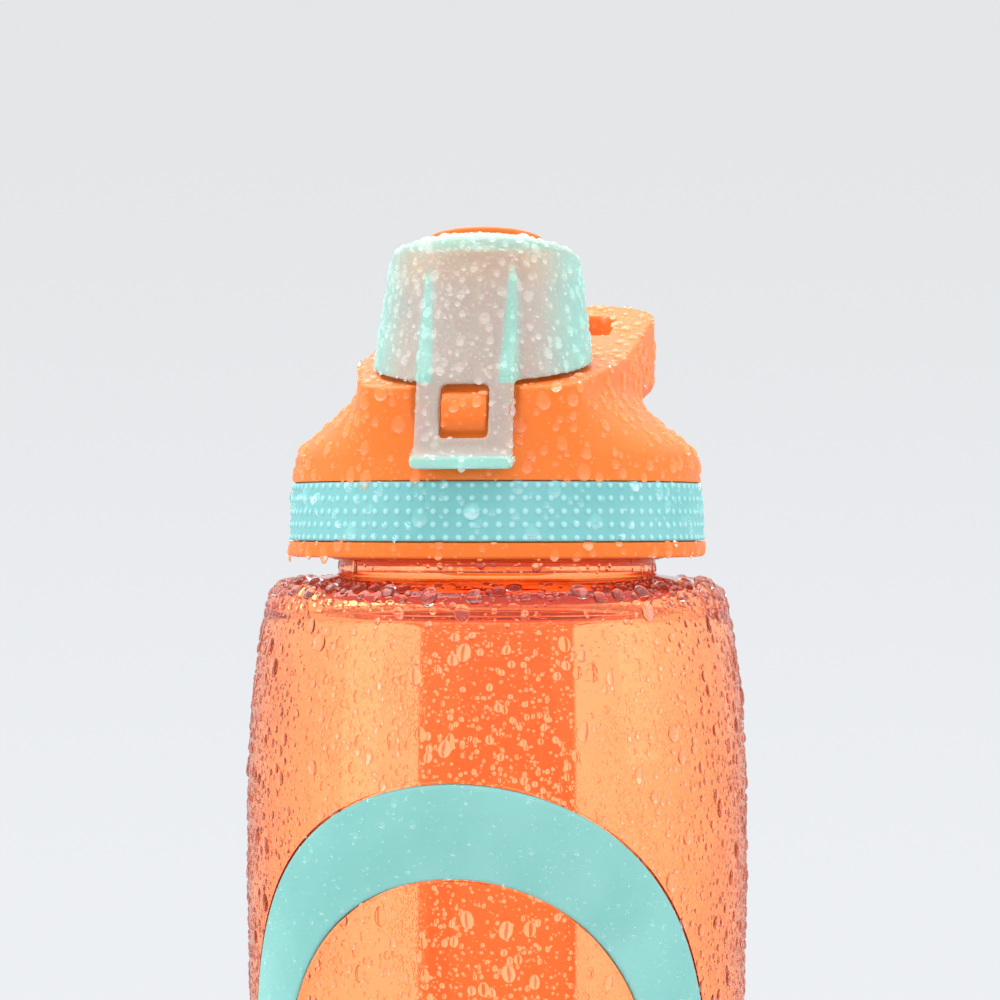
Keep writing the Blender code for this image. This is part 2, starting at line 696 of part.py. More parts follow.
def build_mouth_gasket(parts, soft_clear):
    low = NECK_TOP + GAP
    high = low + GASKET_THICKNESS
    outer = NECK_RADIUS + 0.6 * MM
    inner = outer - GASKET_WIDTH
    profile = [(inner, high), (outer, high), (outer, low), (inner, low)]
    return lathe("mouth_gasket", profile, parts, soft_clear)


# ---------------------------------------------------------------- flip cap

def dome(radius, crown, edge_radius, edge):
    """Height of a shallow dome at a radius."""
    return crown - (crown - edge) * (radius / edge_radius) ** 2


def cap_side(level):
    return CAP_RADIUS - CAP_TAPER * level


def cap_profile():
    edge_radius = cap_side(CAP_EDGE)
    shoulder = edge_radius - CAP_FILLET
    shoulder_level = CAP_EDGE + CAP_FILLET
    seat = DISC_RADIUS + GAP
    seat_level = CAP_CROWN - DISC_SINK
    hole = STEM_RADIUS + GAP
    low = -22 * MM
    outer = [(hole, seat_level), (seat, seat_level),
             (seat, dome(seat, CAP_CROWN, shoulder, shoulder_level)),
             ((seat + shoulder) / 2, dome((seat + shoulder) / 2, CAP_CROWN, shoulder,
                                          shoulder_level))]
    outer += corner_arc(edge_radius, shoulder, CAP_EDGE, shoulder_level)
    outer += [(edge_radius, CAP_EDGE), (cap_side(0), 0), (cap_side(low), low)]
    inner_edge = edge_radius - CAP_WALL
    inner = [(cap_side(low) - CAP_WALL, low), (cap_side(0) - CAP_WALL, 0),
             (inner_edge, CAP_EDGE - 0.8 * MM),
             (inner_edge - 1.2 * MM, CAP_EDGE + 0.5 * MM),
             (hole, seat_level - CAP_WALL)]
    return outer + inner


def hasp_outline():
    """Side view of the hasp, from inside the cap's front wall down to the finger tab."""
    head = LID_BASE + CAP_LEVEL + HASP_LAP
    rim = top_height(-FRONT_REACH) + CAP_RIM_GAP
    tab = HASP_FOOT + TAB_HEIGHT

    def face(height, depth=0.0):
        return (hasp_line(height, depth), height)

    return [face(head, HASP_THICKNESS * 0.8), face(rim + 1.5 * MM), face(tab + 1.2 * MM),
            face(tab, -TAB_REACH), face(HASP_FOOT, -TAB_REACH),
            face(HASP_FOOT, HASP_THICKNESS), face(head, HASP_THICKNESS)]


def hasp_sides(group):
    """Wedges that taper the hasp to its two widths."""
    head = LID_BASE + CAP_LEVEL + HASP_LAP
    rim = top_height(-FRONT_REACH)
    wedges = []
    for side in (-1, 1):
        outline = [(side * HASP_TOP_WIDTH / 2, head + 1 * MM),
                   (side * HASP_TOP_WIDTH / 2, rim),
                   (side * HASP_FOOT_WIDTH / 2, HASP_FOOT),
                   (side * HASP_FOOT_WIDTH / 2, HASP_FOOT - 1 * MM),
                   (side * HASP_FOOT_WIDTH, HASP_FOOT - 1 * MM),
                   (side * HASP_FOOT_WIDTH, head + 1 * MM)]
        frame = Matrix(((1, 0, 0, 0), (0, 0, -1, -LID_RADIUS), (0, 1, 0, 0), (0, 0, 0, 1)))
        wedges.append(plate(f"hasp_side_{side}", [outline], 20 * MM, frame, group))
    return wedges


def build_cap_shell(parts, cutters, frosted_mint):
    cap = lathe("cap_shell", cap_profile(), parts, frosted_mint, frame=CAP_FRAME)
    rim = top_line(CAP_RIM_GAP) + [(50 * MM, BODY_HEIGHT), (-60 * MM, BODY_HEIGHT)]
    combine(cap, side_plate("cap_rim_cut", rim, 120 * MM, cutters), "DIFFERENCE")
    hasp = side_plate("hasp", hasp_outline(), HASP_FOOT_WIDTH + 2 * MM, cutters)
    for wedge in hasp_sides(cutters):
        combine(hasp, wedge, "DIFFERENCE")
    combine(cap, hasp, "UNION")
    low = HASP_FOOT + WINDOW_FOOT
    high = low + WINDOW_HEIGHT
    window = [(-LID_RADIUS - 5 * MM, low), (-CAP_SET_BACK - 8 * MM, low),
              (-CAP_SET_BACK - 8 * MM, high), (-LID_RADIUS - 5 * MM, high)]
    combine(cap, side_plate("window", window, WINDOW_WIDTH, cutters), "DIFFERENCE")
    for side in (-1, 1):
        x = side * (HASP_TOP_WIDTH / 2 - RIB_WIDTH / 2)
        chord = x / CAP_RADIUS
        bottom = top_height(-FRONT_REACH) + CAP_RIM_GAP + 1.2 * MM
        slope = math.tan(CAP_TILT) + CAP_TAPER
        wall = (CAP_FRAME @ Vector((0, -CAP_RADIUS * math.sqrt(1 - chord ** 2), 0))).y
        rise = 14 * MM
        drop = bottom - (LID_BASE + CAP_LEVEL)
        inside = wall + CAP_WALL
        rib = [(inside + drop * slope - 0.6 * MM, bottom),
               (inside + drop * slope + RIB_DEPTH, bottom),
               (inside + rise * slope + RIB_DEPTH, LID_BASE + CAP_LEVEL + rise),
               (inside + rise * slope - 0.6 * MM, LID_BASE + CAP_LEVEL + rise)]
        combine(cap, side_plate(f"rib_{side}", rib, RIB_WIDTH, cutters, offset=x), "UNION")
    half = BARREL_RADIUS * 0.6
    wall = (CAP_FRAME @ Vector((0, cap_side(HINGE.z - LID_BASE - CAP_LEVEL), 0))).y
    arm = [(wall - 0.2 * MM, HINGE.z - half), (HINGE.y, HINGE.z - half),
           (HINGE.y, HINGE.z + half), (wall - 0.2 * MM, HINGE.z + half)]
    combine(cap, side_plate("hinge_arm", arm, CAP_BARREL, cutters), "UNION")
    barrel = cross_pin("cap_barrel", BARREL_RADIUS, CAP_BARREL + 0.02 * MM, HINGE, cutters)
    combine(cap, barrel, "UNION")
    bore = cross_pin("cap_hinge_bore", PIN_RADIUS + GAP, 30 * MM, HINGE, cutters)
    combine(cap, bore, "DIFFERENCE")
    return cap


def build_spout_plug(parts, orange):
    crown = CAP_CROWN + DISC_PROUD
    seat = CAP_CROWN - DISC_SINK + GAP
    shoulder = SEAL_LEVEL + SEAL_BEAD + GAP
    body = SEAL_RADIUS - SEAL_BEAD + 0.6 * MM
    groove = SEAL_RADIUS - SEAL_BEAD - GAP
    foot = SPOUT_TOP - PLUG_REACH
    profile = [(0, crown), (DISC_RADIUS * 0.6, crown - 0.2 * MM),
               (DISC_RADIUS - 0.5 * MM, crown - 0.7 * MM), (DISC_RADIUS, crown - 1.1 * MM),
               (DISC_RADIUS, seat), (STEM_RADIUS, seat), (STEM_RADIUS, shoulder + 0.7 * MM),
               (body, shoulder + 0.7 * MM), (body, shoulder), (groove, shoulder),
               (groove, SEAL_LEVEL - SEAL_BEAD - GAP), (body, SEAL_LEVEL - SEAL_BEAD - GAP),
               (body - 0.4 * MM, foot), (0, foot)]
    return lathe("spout_plug", profile, parts, orange, frame=CAP_FRAME, segments=32)


def build_plug_seal(parts, soft_clear):
    profile = []
    for step in range(8):
        angle = 2 * math.pi * step / 8
        profile.append((SEAL_RADIUS + SEAL_BEAD * math.sin(angle),
                        SEAL_LEVEL + SEAL_BEAD * math.cos(angle)))
    return lathe("plug_seal", profile, parts, soft_clear, frame=CAP_FRAME, segments=32)


def build_hinge_pin(parts, steel):
    length = CAP_BARREL + 2 * (LID_BARREL + GAP)
    return cross_pin("hinge_pin", PIN_RADIUS, length, HINGE, parts, steel)


def main():
    clear_scene()
    parts = collection("sports_bottle")
    cutters = collection("cutters")
    clear_orange = finish("clear_orange", (1.0, 0.33, 0.08), 0.08, transmission=0.9)
    orange = finish("satin_orange", (1.0, 0.24, 0.04), 0.4)
    mint = finish("soft_mint", (0.26, 0.60, 0.58), 0.55)
    frosted = finish("frosted_mint", (0.45, 0.82, 0.76), 0.4, transmission=0.7)
    rubber = finish("clear_silicone", (0.85, 0.87, 0.86), 0.5, transmission=0.3)
    steel = finish("pin_steel", (0.62, 0.62, 0.63), 0.3, metallic=1.0)

    built = [
        build_body(parts, cutters, clear_orange),
        build_grip_ring(parts, mint),
        build_lid_shell(parts, cutters, orange),
        build_lid_band(parts, mint),
        build_lid_liner(parts, cutters, orange),
        build_mouth_gasket(parts, rubber),
        build_cap_shell(parts, cutters, frosted),
        build_spout_plug(parts, orange),
        build_plug_seal(parts, rubber),
        build_hinge_pin(parts, steel),
    ]
    for item in built:
        shade(item)
    bpy.context.view_layer.update()


main()
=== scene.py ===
"""Looks of the sports bottle: fine meshes, finishes, dew, light and camera.

Every size is in metres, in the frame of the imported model: base centre at the origin, +Z up,
cap and hasp towards -Y, carry loop towards +Y.
"""
import enum
import logging
import math
from dataclasses import dataclass, field
from typing import Callable, Iterable, Sequence

import bmesh
import bpy
import numpy as np
from mathutils import Matrix, Vector
from mathutils.bvhtree import BVHTree
from mathutils.interpolate import poly_3d_calc


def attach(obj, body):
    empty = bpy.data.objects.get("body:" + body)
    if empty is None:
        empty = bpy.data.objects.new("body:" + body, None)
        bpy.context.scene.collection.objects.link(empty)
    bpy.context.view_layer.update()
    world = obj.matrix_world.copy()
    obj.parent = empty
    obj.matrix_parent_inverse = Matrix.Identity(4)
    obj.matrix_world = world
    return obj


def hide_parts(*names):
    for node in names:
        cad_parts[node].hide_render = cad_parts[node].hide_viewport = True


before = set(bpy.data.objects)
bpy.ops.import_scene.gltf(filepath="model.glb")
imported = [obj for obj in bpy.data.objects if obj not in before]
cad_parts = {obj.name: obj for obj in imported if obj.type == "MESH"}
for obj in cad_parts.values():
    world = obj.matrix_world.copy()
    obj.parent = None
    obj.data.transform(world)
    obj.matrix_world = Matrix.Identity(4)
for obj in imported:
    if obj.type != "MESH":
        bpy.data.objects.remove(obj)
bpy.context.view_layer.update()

MM = 0.001
LOG = logging.getLogger("bottle")
Point = Sequence[float]
Colour = tuple[float, float, float]


class Body(enum.Enum):
    """The rigid bodies that pieces ride on."""

    BOTTLE = "bottle"
    SEAL = "lid_seal"
    LID = "lid"
    CAP = "cap"


class Slot(enum.Enum):
    """The finishes that the record names."""

    CLEAR = "clear_orange"
    SATIN = "satin_orange"
    MINT = "soft_mint"
    FROSTED = "frosted_mint"
    SILICONE = "clear_silicone"
    STEEL = "pin_steel"


# ------------------------------------------------------------------ shader maths

class Wire:
    """An output socket whose arithmetic adds Math nodes."""

    def __init__(self, graph: "Graph", socket: bpy.types.NodeSocket) -> None:
        """Keep the socket and the graph that it belongs to."""
        self.graph = graph
        self.socket = socket

    def __add__(self, other: "Wire | float") -> "Wire":
        """Sum."""
        return self.graph.math("ADD", self, other)

    __radd__ = __add__

    def __mul__(self, other: "Wire | float") -> "Wire":
        """Product."""
        return self.graph.math("MULTIPLY", self, other)

    __rmul__ = __mul__

    def __sub__(self, other: "Wire | float") -> "Wire":
        """Difference."""
        return self.graph.math("SUBTRACT", self, other)

    def __rsub__(self, other: float) -> "Wire":
        """Difference with a number on the left."""
        return self.graph.math("SUBTRACT", other, self)

    def __truediv__(self, other: "Wire | float") -> "Wire":
        """Quotient."""
        return self.graph.math("DIVIDE", self, other)

    def __pow__(self, other: "Wire | float") -> "Wire":
        """Power."""
        return self.graph.math("POWER", self, other)

    def __abs__(self) -> "Wire":
        """Absolute value."""
        return self.graph.math("ABSOLUTE", self)

    def maximum(self, other: "Wire | float") -> "Wire":
        """The larger of two values."""
        return self.graph.math("MAXIMUM", self, other)

    def ease(self, low: float, high: float) -> "Wire":
        """Smooth step.

        Args:
            low: value that gives 0.
            high: value that gives 1.

        Returns:
            The eased value, from 0 to 1.
        """
        step = self.graph.node("ShaderNodeMapRange", {"interpolation_type": "SMOOTHSTEP"},
                               {"Value": self, "From Min": low, "From Max": high})
        return Wire(self.graph, step.outputs[0])


class Graph:
    """The node tree of a material or of the surround."""

    def __init__(self, name: str, world: bool = False) -> None:
        """Start an empty material or world.

        Args:
            name: its name.
            world: whether it is the scene's surround and not a material.
        """
        self.owner = (bpy.data.worlds if world else bpy.data.materials).new(name)
        self.owner.use_nodes = True
        self.tree = self.owner.node_tree
        self.tree.nodes.clear()
        kind = "World" if world else "Material"
        self.output = self.tree.nodes.new(f"ShaderNodeOutput{kind}")

    def node(self, kind: str, settings: dict | None = None,
             inputs: dict | None = None) -> bpy.types.Node:
        """Add a node.

        Args:
            kind: the node's type.
            settings: properties, set before the sockets.
            inputs: socket name or number to a value, a Wire or a shader socket.

        Returns:
            The new node.
        """
        made = self.tree.nodes.new(kind)
        for key, value in (settings or {}).items():
            setattr(made, key, value)
        for key, value in (inputs or {}).items():
            socket = made.inputs[key]
            if isinstance(value, Wire):
                self.tree.links.new(value.socket, socket)
            elif isinstance(value, bpy.types.NodeSocket):
                self.tree.links.new(value, socket)
            elif isinstance(value, tuple) and len(value) == 3 and socket.type == "RGBA":
                socket.default_value = (*value, 1.0)
            else:
                socket.default_value = value
        return made

    def math(self, operation: str, *values: "Wire | float") -> Wire:
        """Add a Math node on values or numbers."""
        made = self.node("ShaderNodeMath", {"operation": operation},
                         dict(enumerate(values)))
        return Wire(self, made.outputs[0])

    def mix(self, share: "Wire | float", low: "Wire | Colour",
            high: "Wire | Colour") -> Wire:
        """Mix two colours.

        Args:
            share: 0 for low, 1 for high.
            low: first colour.
            high: second colour.

        Returns:
            The mixed colour.
        """
        made = self.node("ShaderNodeMix", {"data_type": "RGBA"},
                         {0: share, 6: low, 7: high})
        return Wire(self, made.outputs[2])

    def place(self) -> tuple[Wire, Wire, Wire]:
        """The surface point's object coordinates as three values."""
        where = self.node("ShaderNodeTexCoord")
        split = self.node("ShaderNodeSeparateXYZ", None, {0: where.outputs["Object"]})
        return tuple(Wire(self, socket) for socket in split.outputs)

    def noise(self, scale: float, detail: float = 2.0) -> Wire:
        """Noise of 0 to 1 over the object's own coordinates."""
        where = self.node("ShaderNodeTexCoord")
        made = self.node("ShaderNodeTexNoise", None,
                         {"Vector": where.outputs["Object"], "Scale": scale,
                          "Detail": detail})
        return Wire(self, made.outputs[0])

    def cells(self, scale: float) -> Wire:
        """Distance to the nearest of scattered points."""
        where = self.node("ShaderNodeTexCoord")
        made = self.node("ShaderNodeTexVoronoi", None,
                         {"Vector": where.outputs["Object"], "Scale": scale})
        return Wire(self, made.outputs["Distance"])

    def bump(self, height: Wire, distance: float, strength: float = 1.0) -> Wire:
        """A normal from a height of 0 to 1 that stands for a distance in metres."""
        made = self.node("ShaderNodeBump", None,
                         {"Height": height, "Distance": distance, "Strength": strength})
        return Wire(self, made.outputs[0])

    def principled(self, **inputs: "Wire | float | Colour") -> bpy.types.NodeSocket:
        """A Principled shader; underscores in a socket's name stand for spaces."""
        named = {key.replace("_", " "): value for key, value in inputs.items()}
        return self.node("ShaderNodeBsdfPrincipled", None, named).outputs[0]

    def absorb(self, colour: Colour, density: float) -> None:
        """Let the inside take up light on its way through."""
        depth = self.node("ShaderNodeVolumeAbsorption", None,
                          {"Color": colour, "Density": density})
        self.tree.links.new(depth.outputs[0], self.output.inputs["Volume"])

    def finish(self, shader: bpy.types.NodeSocket) -> bpy.types.ID:
        """Connect the final shader and return the material or world."""
        self.tree.links.new(shader, self.output.inputs["Surface"])
        return self.owner


# ------------------------------------------------------------------ finishes

@dataclass(frozen=True)
class SatinPlastic:
    """Opaque moulded plastic with a fine satin grain."""

    name: str
    colour: Colour
    pale: Colour
    roughness: float = 0.36

    def material(self) -> bpy.types.Material:
        """Build the material."""
        graph = Graph(self.name)
        flow = graph.noise(55.0, 3.0)
        base = graph.mix(flow.ease(0.35, 0.75) * 0.35, self.colour, self.pale)
        grain = graph.noise(2600.0, 2.0)
        rough = self.roughness + 0.1 * flow
        shader = graph.principled(Base_Color=base, Roughness=rough,
                                  Subsurface_Weight=0.12, Subsurface_Scale=0.002,
                                  Specular_IOR_Level=0.5,
                                  Normal=graph.bump(grain, 0.00002, 0.35))
        return graph.finish(shader)


@dataclass(frozen=True)
class SoftRubber:
    """Matte moulded rubber with a pale bloom in patches."""

    name: str
    colour: Colour
    pale: Colour
    roughness: float = 0.5

    def material(self) -> bpy.types.Material:
        """Build the material."""
        graph = Graph(self.name)
        bloom = graph.noise(40.0, 3.0).ease(0.35, 0.7)
        base = graph.mix(bloom * 0.6, self.colour, self.pale)
        grain = graph.noise(3200.0, 3.0)
        shader = graph.principled(Base_Color=base, Roughness=self.roughness + 0.12 * bloom,
                                  Subsurface_Weight=0.15, Subsurface_Scale=0.002,
                                  Normal=graph.bump(grain, 0.00003, 0.4))
        return graph.finish(shader)


@dataclass(frozen=True)
class ClearPlastic:
    """Tinted clear plastic with a faint painted glow, an emission that stands in for light
    passing through it, and a mist of fine dew on its outer side.
    """

    name: str
    tint: Colour
    outer: float
    ior: float = 1.52
    # painted light: an emitted deep red that makes the thick shoulder and neck look redder and
    # brighter
    painted_glow: Colour = (0.30, 0.022, 0.0)
    painted_glow_strength: float = 0.13
    absorbed: Colour = (0.985, 0.46, 0.0)
    density: float = 225.0
    mist_from: float = 16.0 * MM
    mist_full: float = 34.0 * MM

    def material(self) -> bpy.types.Material:
        """Build the material."""
        graph = Graph(self.name)
        x, y, z = graph.place()
        outside = ((x * x + y * y) ** 0.5).ease(self.outer, self.outer + 0.3 * MM)
        mist = graph.noise(120.0, 2.0).ease(0.35, 0.65) \
            * abs(x).ease(self.mist_from, self.mist_full)
        beads = (1.0 - graph.cells(2100.0) * 2.1).maximum(0.0) ** 0.5
        tint = graph.mix(graph.noise(30.0, 2.0) * 0.3, self.tint,
                         tuple(channel * 0.97 for channel in self.tint))
        # The emission is painted light, a glow that stands in for light passing through the
        # plastic.
        shader = graph.principled(Base_Color=tint, Roughness=0.0, Transmission_Weight=1.0,
                                  IOR=self.ior, Emission_Color=self.painted_glow,
                                  Emission_Strength=self.painted_glow_strength,
                                  Normal=graph.bump(beads * mist * outside, 0.00006, 0.7))
        graph.absorb(self.absorbed, self.density)
        return graph.finish(shader)


@dataclass(frozen=True)
class FrostedPlastic:
    """Translucent plastic, milky in front with painted light from the orange spout and plug
    inside, and tinted at its flanks, ribs, top edge and tab.
    """

    name: str
    # the front's colour: partly the frost's own milky tone, partly painted light from the orange
    # spout behind it
    frost_and_painted_spout_light: Colour
    tint: Colour
    rib_offset: float
    rim: float
    head: float
    front: float
    tab_top: float
    absorbed: Colour = (0.0, 0.93, 0.80)
    density: float = 75.0
    # colour of the painted light from the orange plug under the top
    painted_glow_colour: Colour = (0.95, 0.66, 0.48)
    rib_half: float = 1.35 * MM
    rib_narrowing: float = 0.7 * MM
    flank_from: float = 9.0 * MM
    flank_full: float = 16.0 * MM

    def material(self) -> bpy.types.Material:
        """Build the material."""
        graph = Graph(self.name)
        x, y, z = graph.place()
        rise = z.ease(self.rim, self.head)
        half = self.rib_half - self.rib_narrowing * rise
        aside = abs(abs(x) - self.rib_offset) - half
        rib = (1.0 - aside.ease(-0.5 * MM, 0.5 * MM)) * z.ease(self.rim - 0.4 * MM, self.rim)
        rib = rib * (1.0 - z.ease(self.head - 4 * MM, self.head))
        ahead = 1.0 - y.ease(self.front, self.front + 3 * MM)
        tab = 1.0 - z.ease(self.tab_top - 0.3 * MM, self.tab_top + 0.3 * MM)
        cloud = graph.noise(90.0, 3.0).ease(0.3, 0.8)
        flank = abs(x).ease(self.flank_from, self.flank_full)
        edge = z.ease(self.head + 0.6 * MM, self.head + 1.8 * MM)
        # painted light: the upper middle of the cap warms towards the orange plug that shines
        # through it
        painted_plug_light = z.ease(self.head - 6 * MM, self.head) * (1.0 - flank)
        tinted = (rib * ahead * 0.75).maximum(tab * 0.85).maximum(flank * 0.8)
        tinted = tinted.maximum(edge * 0.6)
        milky = 0.42 + 0.08 * cloud + 0.25 * tinted
        normal = graph.bump(graph.noise(2800.0, 2.0), 0.00003, 0.5)
        clear = graph.principled(Base_Color=graph.mix(cloud * 0.2, (0.97, 1.0, 0.99),
                                                      (0.88, 0.97, 0.95)),
                                 Roughness=0.34 + 0.06 * cloud, IOR=1.4,
                                 Transmission_Weight=1.0, Normal=normal)
        # the front's colour, with painted warm light near the top
        frost_and_painted_spout_light = graph.mix(painted_plug_light * 0.7, self.frost_and_painted_spout_light, self.painted_glow_colour)
        dense = graph.principled(Base_Color=graph.mix(tinted, frost_and_painted_spout_light, self.tint),
                                 Roughness=0.42, Subsurface_Weight=0.5,
                                 Subsurface_Scale=0.003, Normal=normal)
        mixed = graph.node("ShaderNodeMixShader", None, {0: milky, 1: clear, 2: dense})
        graph.absorb(self.absorbed, self.density)
        return graph.finish(mixed.outputs[0])


@dataclass(frozen=True)
class DottedRubber:
    """Soft rubber, paler on its raised dots."""

    name: str
    colour: Colour
    pale: Colour
    low: float
    high: float
    radius: float
    draft: float

    def material(self) -> bpy.types.Material:
        """Build the material."""
        graph = Graph(self.name)
        x, y, z = graph.place()
        seat = self.radius - (z - self.low) * (self.draft / (self.high - self.low))
        proud = ((x * x + y * y) ** 0.5 - seat).ease(0.03 * MM, 0.2 * MM)
        bloom = graph.noise(60.0, 3.0).ease(0.35, 0.7)
        base = graph.mix((proud * 0.85 + bloom * 0.2).maximum(0.0), self.colour, self.pale)
        grain = graph.noise(3200.0, 3.0)
        shader = graph.principled(Base_Color=base, Roughness=0.46 + 0.12 * bloom,
                                  Subsurface_Weight=0.15, Subsurface_Scale=0.002,
                                  Normal=graph.bump(grain, 0.00003, 0.35))
        return graph.finish(shader)


@dataclass(frozen=True)
class Silicone:
    """Soft cloudy silicone."""

    name: str = "cloudy_silicone"
    colour: Colour = (0.80, 0.82, 0.80)

    def material(self) -> bpy.types.Material:
        """Build the material."""
        graph = Graph(self.name)
        cloud = graph.noise(150.0, 3.0)
        base = graph.mix(cloud, self.colour, (0.68, 0.71, 0.70))
        shader = graph.principled(Base_Color=base, Roughness=0.4 + 0.2 * cloud,
                                  Subsurface_Weight=0.5, Subsurface_Scale=0.003)
        return graph.finish(shader)


@dataclass(frozen=True)
class DrawnSteel:
    """Plain pin wire with fine lines along it."""

    name: str = "drawn_steel"

    def material(self) -> bpy.types.Material:
        """Build the material."""
        graph = Graph(self.name)
        lines = graph.noise(4000.0, 2.0)
        base = graph.mix(lines, (0.58, 0.58, 0.60), (0.70, 0.70, 0.71))
        shader = graph.principled(Base_Color=base, Metallic=1.0, Roughness=0.22 + 0.2 * lines)
        return graph.finish(shader)


@dataclass(frozen=True)
class Water:
    """Clear water, with painted light in the lower part of each drop, which stands in for the
    light that a drop gathers there.

    The painted glow is how much of this painted light shows, and it is zero on clear walls.
    """

    name: str
    painted_glow: float = 0.0
    # colour of the painted light in the lower part of each drop
    painted_glow_colour: Colour = (1.0, 0.97, 0.93)

    def material(self) -> bpy.types.Material:
        """Build the material."""
        graph = Graph(self.name)
        film = graph.noise(300.0, 1.0)
        base = graph.mix(film, (1.0, 1.0, 1.0), (0.985, 0.995, 1.0))
        clear = graph.principled(Base_Color=base, Roughness=0.0, IOR=1.333,
                                 Transmission_Weight=1.0)
        if not self.painted_glow:
            return graph.finish(clear)
        # painted light: a pale shader mixed into the lower part of the drop stands in for the
        # light it gathers
        fall = graph.node("ShaderNodeAttribute", {"attribute_name": "fall"})
        lower = Wire(graph, fall.outputs["Fac"]).ease(0.35, 0.95)
        pale = tuple(0.8 * channel + 0.2 for channel in self.painted_glow_colour)
        painted_caustic = graph.principled(Base_Color=graph.mix(film, self.painted_glow_colour, pale),
                                  Roughness=0.1)
        mixed = graph.node("ShaderNodeMixShader", None,
                           {0: lower * self.painted_glow, 1: clear, 2: painted_caustic})
        return graph.finish(mixed.outputs[0])


# ------------------------------------------------------------------ mesh tools

def new_object(name: str, verts: Iterable[Point], faces: Iterable[Sequence[int]],
               material: bpy.types.Material | None = None) -> bpy.types.Object:
    """Make a mesh object.

    Args:
        name: the object's name.
        verts: vertex places.
        faces: vertex numbers of each face.
        material: its finish, if it has one yet.

    Returns:
        The object, linked to the scene.
    """
    mesh = bpy.data.meshes.new(name)
    mesh.from_pydata([tuple(v) for v in verts], [], [tuple(f) for f in faces])
    item = bpy.data.objects.new(name, mesh)
    bpy.context.scene.collection.objects.link(item)
    if material:
        mesh.materials.append(material)
    return item


def lathe(name: str, profile: Sequence[Point], segments: int,
          place: Matrix = Matrix.Identity(4),
          material: bpy.types.Material | None = None) -> bpy.types.Object:
    """Turn a closed outline about an axis.

    Args:
        name: the object's name.
        profile: (radius, height) points that run down the outer side.
        segments: sides of the turned piece.
        place: the axis as a frame whose Z it is.
        material: its finish.

    Returns:
        The object, with its places in its mesh.
    """
    verts: list[Vector] = []
    rows: list[list[int]] = []
    for radius, height in profile:
        turns = segments if radius > 1e-9 else 1
        start = len(verts)
        for step in range(turns):
            angle = 2 * math.pi * step / segments
            verts.append(place @ Vector((radius * math.cos(angle), radius * math.sin(angle),
                                         height)))
        rows.append([start + step % turns for step in range(segments)])
    faces = []
    for upper, lower in zip(rows, rows[1:] + rows[:1]):
        for i in range(segments):
            j = (i + 1) % segments
            corners = dict.fromkeys((upper[i], lower[i], lower[j], upper[j]))
            if len(corners) > 2:
                faces.append(tuple(corners))
    return new_object(name, verts, faces, material)


def prism(name: str, outline: Sequence[Point], low: float, high: float,
          axis: str = "X") -> bpy.types.Object:
    """Extrude an outline.

    Args:
        name: the object's name.
        outline: points in the plane across the axis, (y, z) for X and (x, y) for Z.
        low: start of the extrusion along the axis.
        high: its end.
        axis: X, Y or Z.

    Returns:
        The object.
    """
    order = {"X": lambda a, b, t: (t, a, b), "Y": lambda a, b, t: (a, t, b),
             "Z": lambda a, b, t: (a, b, t)}[axis]
    count = len(outline)
    verts = [order(a, b, t) for t in (low, high) for a, b in outline]
    faces = [tuple(range(count)), tuple(range(2 * count - 1, count - 1, -1))]
    faces += [(i, i + count, (i + 1) % count + count, (i + 1) % count)
              for i in range(count)]
    item = new_object(name, verts, faces)
    mend(item)
    return item


def mend(item: bpy.types.Object) -> None:
    """Turn an object's faces outwards."""
    work = bmesh.new()
    work.from_mesh(item.data)
    bmesh.ops.recalc_face_normals(work, faces=work.faces)
    work.to_mesh(item.data)
    work.free()


def bar(name: str, radius: float, low: float, high: float, centre: Vector,
        segments: int = 48) -> bpy.types.Object:
    """A round bar along X from low to high about a centre."""
    turned = Matrix.Translation(centre) @ Matrix.Rotation(math.pi / 2, 4, "Y")
    return lathe(name, [(0, high), (radius, high), (radius, low), (0, low)], segments, turned)


def apply_modifiers(item: bpy.types.Object) -> None:
    """Replace an object's mesh by its evaluated one."""
    bpy.context.view_layer.update()
    graph = bpy.context.evaluated_depsgraph_get()
    mesh = bpy.data.meshes.new_from_object(item.evaluated_get(graph))
    item.modifiers.clear()
    item.data = mesh


def combine(item: bpy.types.Object, other: bpy.types.Object, operation: str) -> None:
    """Cut, join or intersect a closed mesh with another, which is used up."""
    modifier = item.modifiers.new("combine", "BOOLEAN")
    modifier.operation = operation
    modifier.solver = "MANIFOLD"
    modifier.object = other
    apply_modifiers(item)
    bpy.data.objects.remove(other, do_unlink=True)


def soften(item: bpy.types.Object, voxel: float, passes: int) -> None:
    """Remesh a closed form evenly and round its edges.

    Args:
        item: the object.
        voxel: size of the new faces.
        passes: smoothing passes.
    """
    remesh = item.modifiers.new("remesh", "REMESH")
    remesh.mode = "VOXEL"
    remesh.voxel_size = voxel
    smooth = item.modifiers.new("smooth", "SMOOTH")
    smooth.factor = 0.5
    smooth.iterations = passes
    apply_modifiers(item)


def shade(item: bpy.types.Object, degrees: float = 35.0) -> None:
    """Shade smooth up to an angle."""
    item.data.shade_smooth()
    item.data.set_sharp_from_angle(angle=math.radians(degrees))


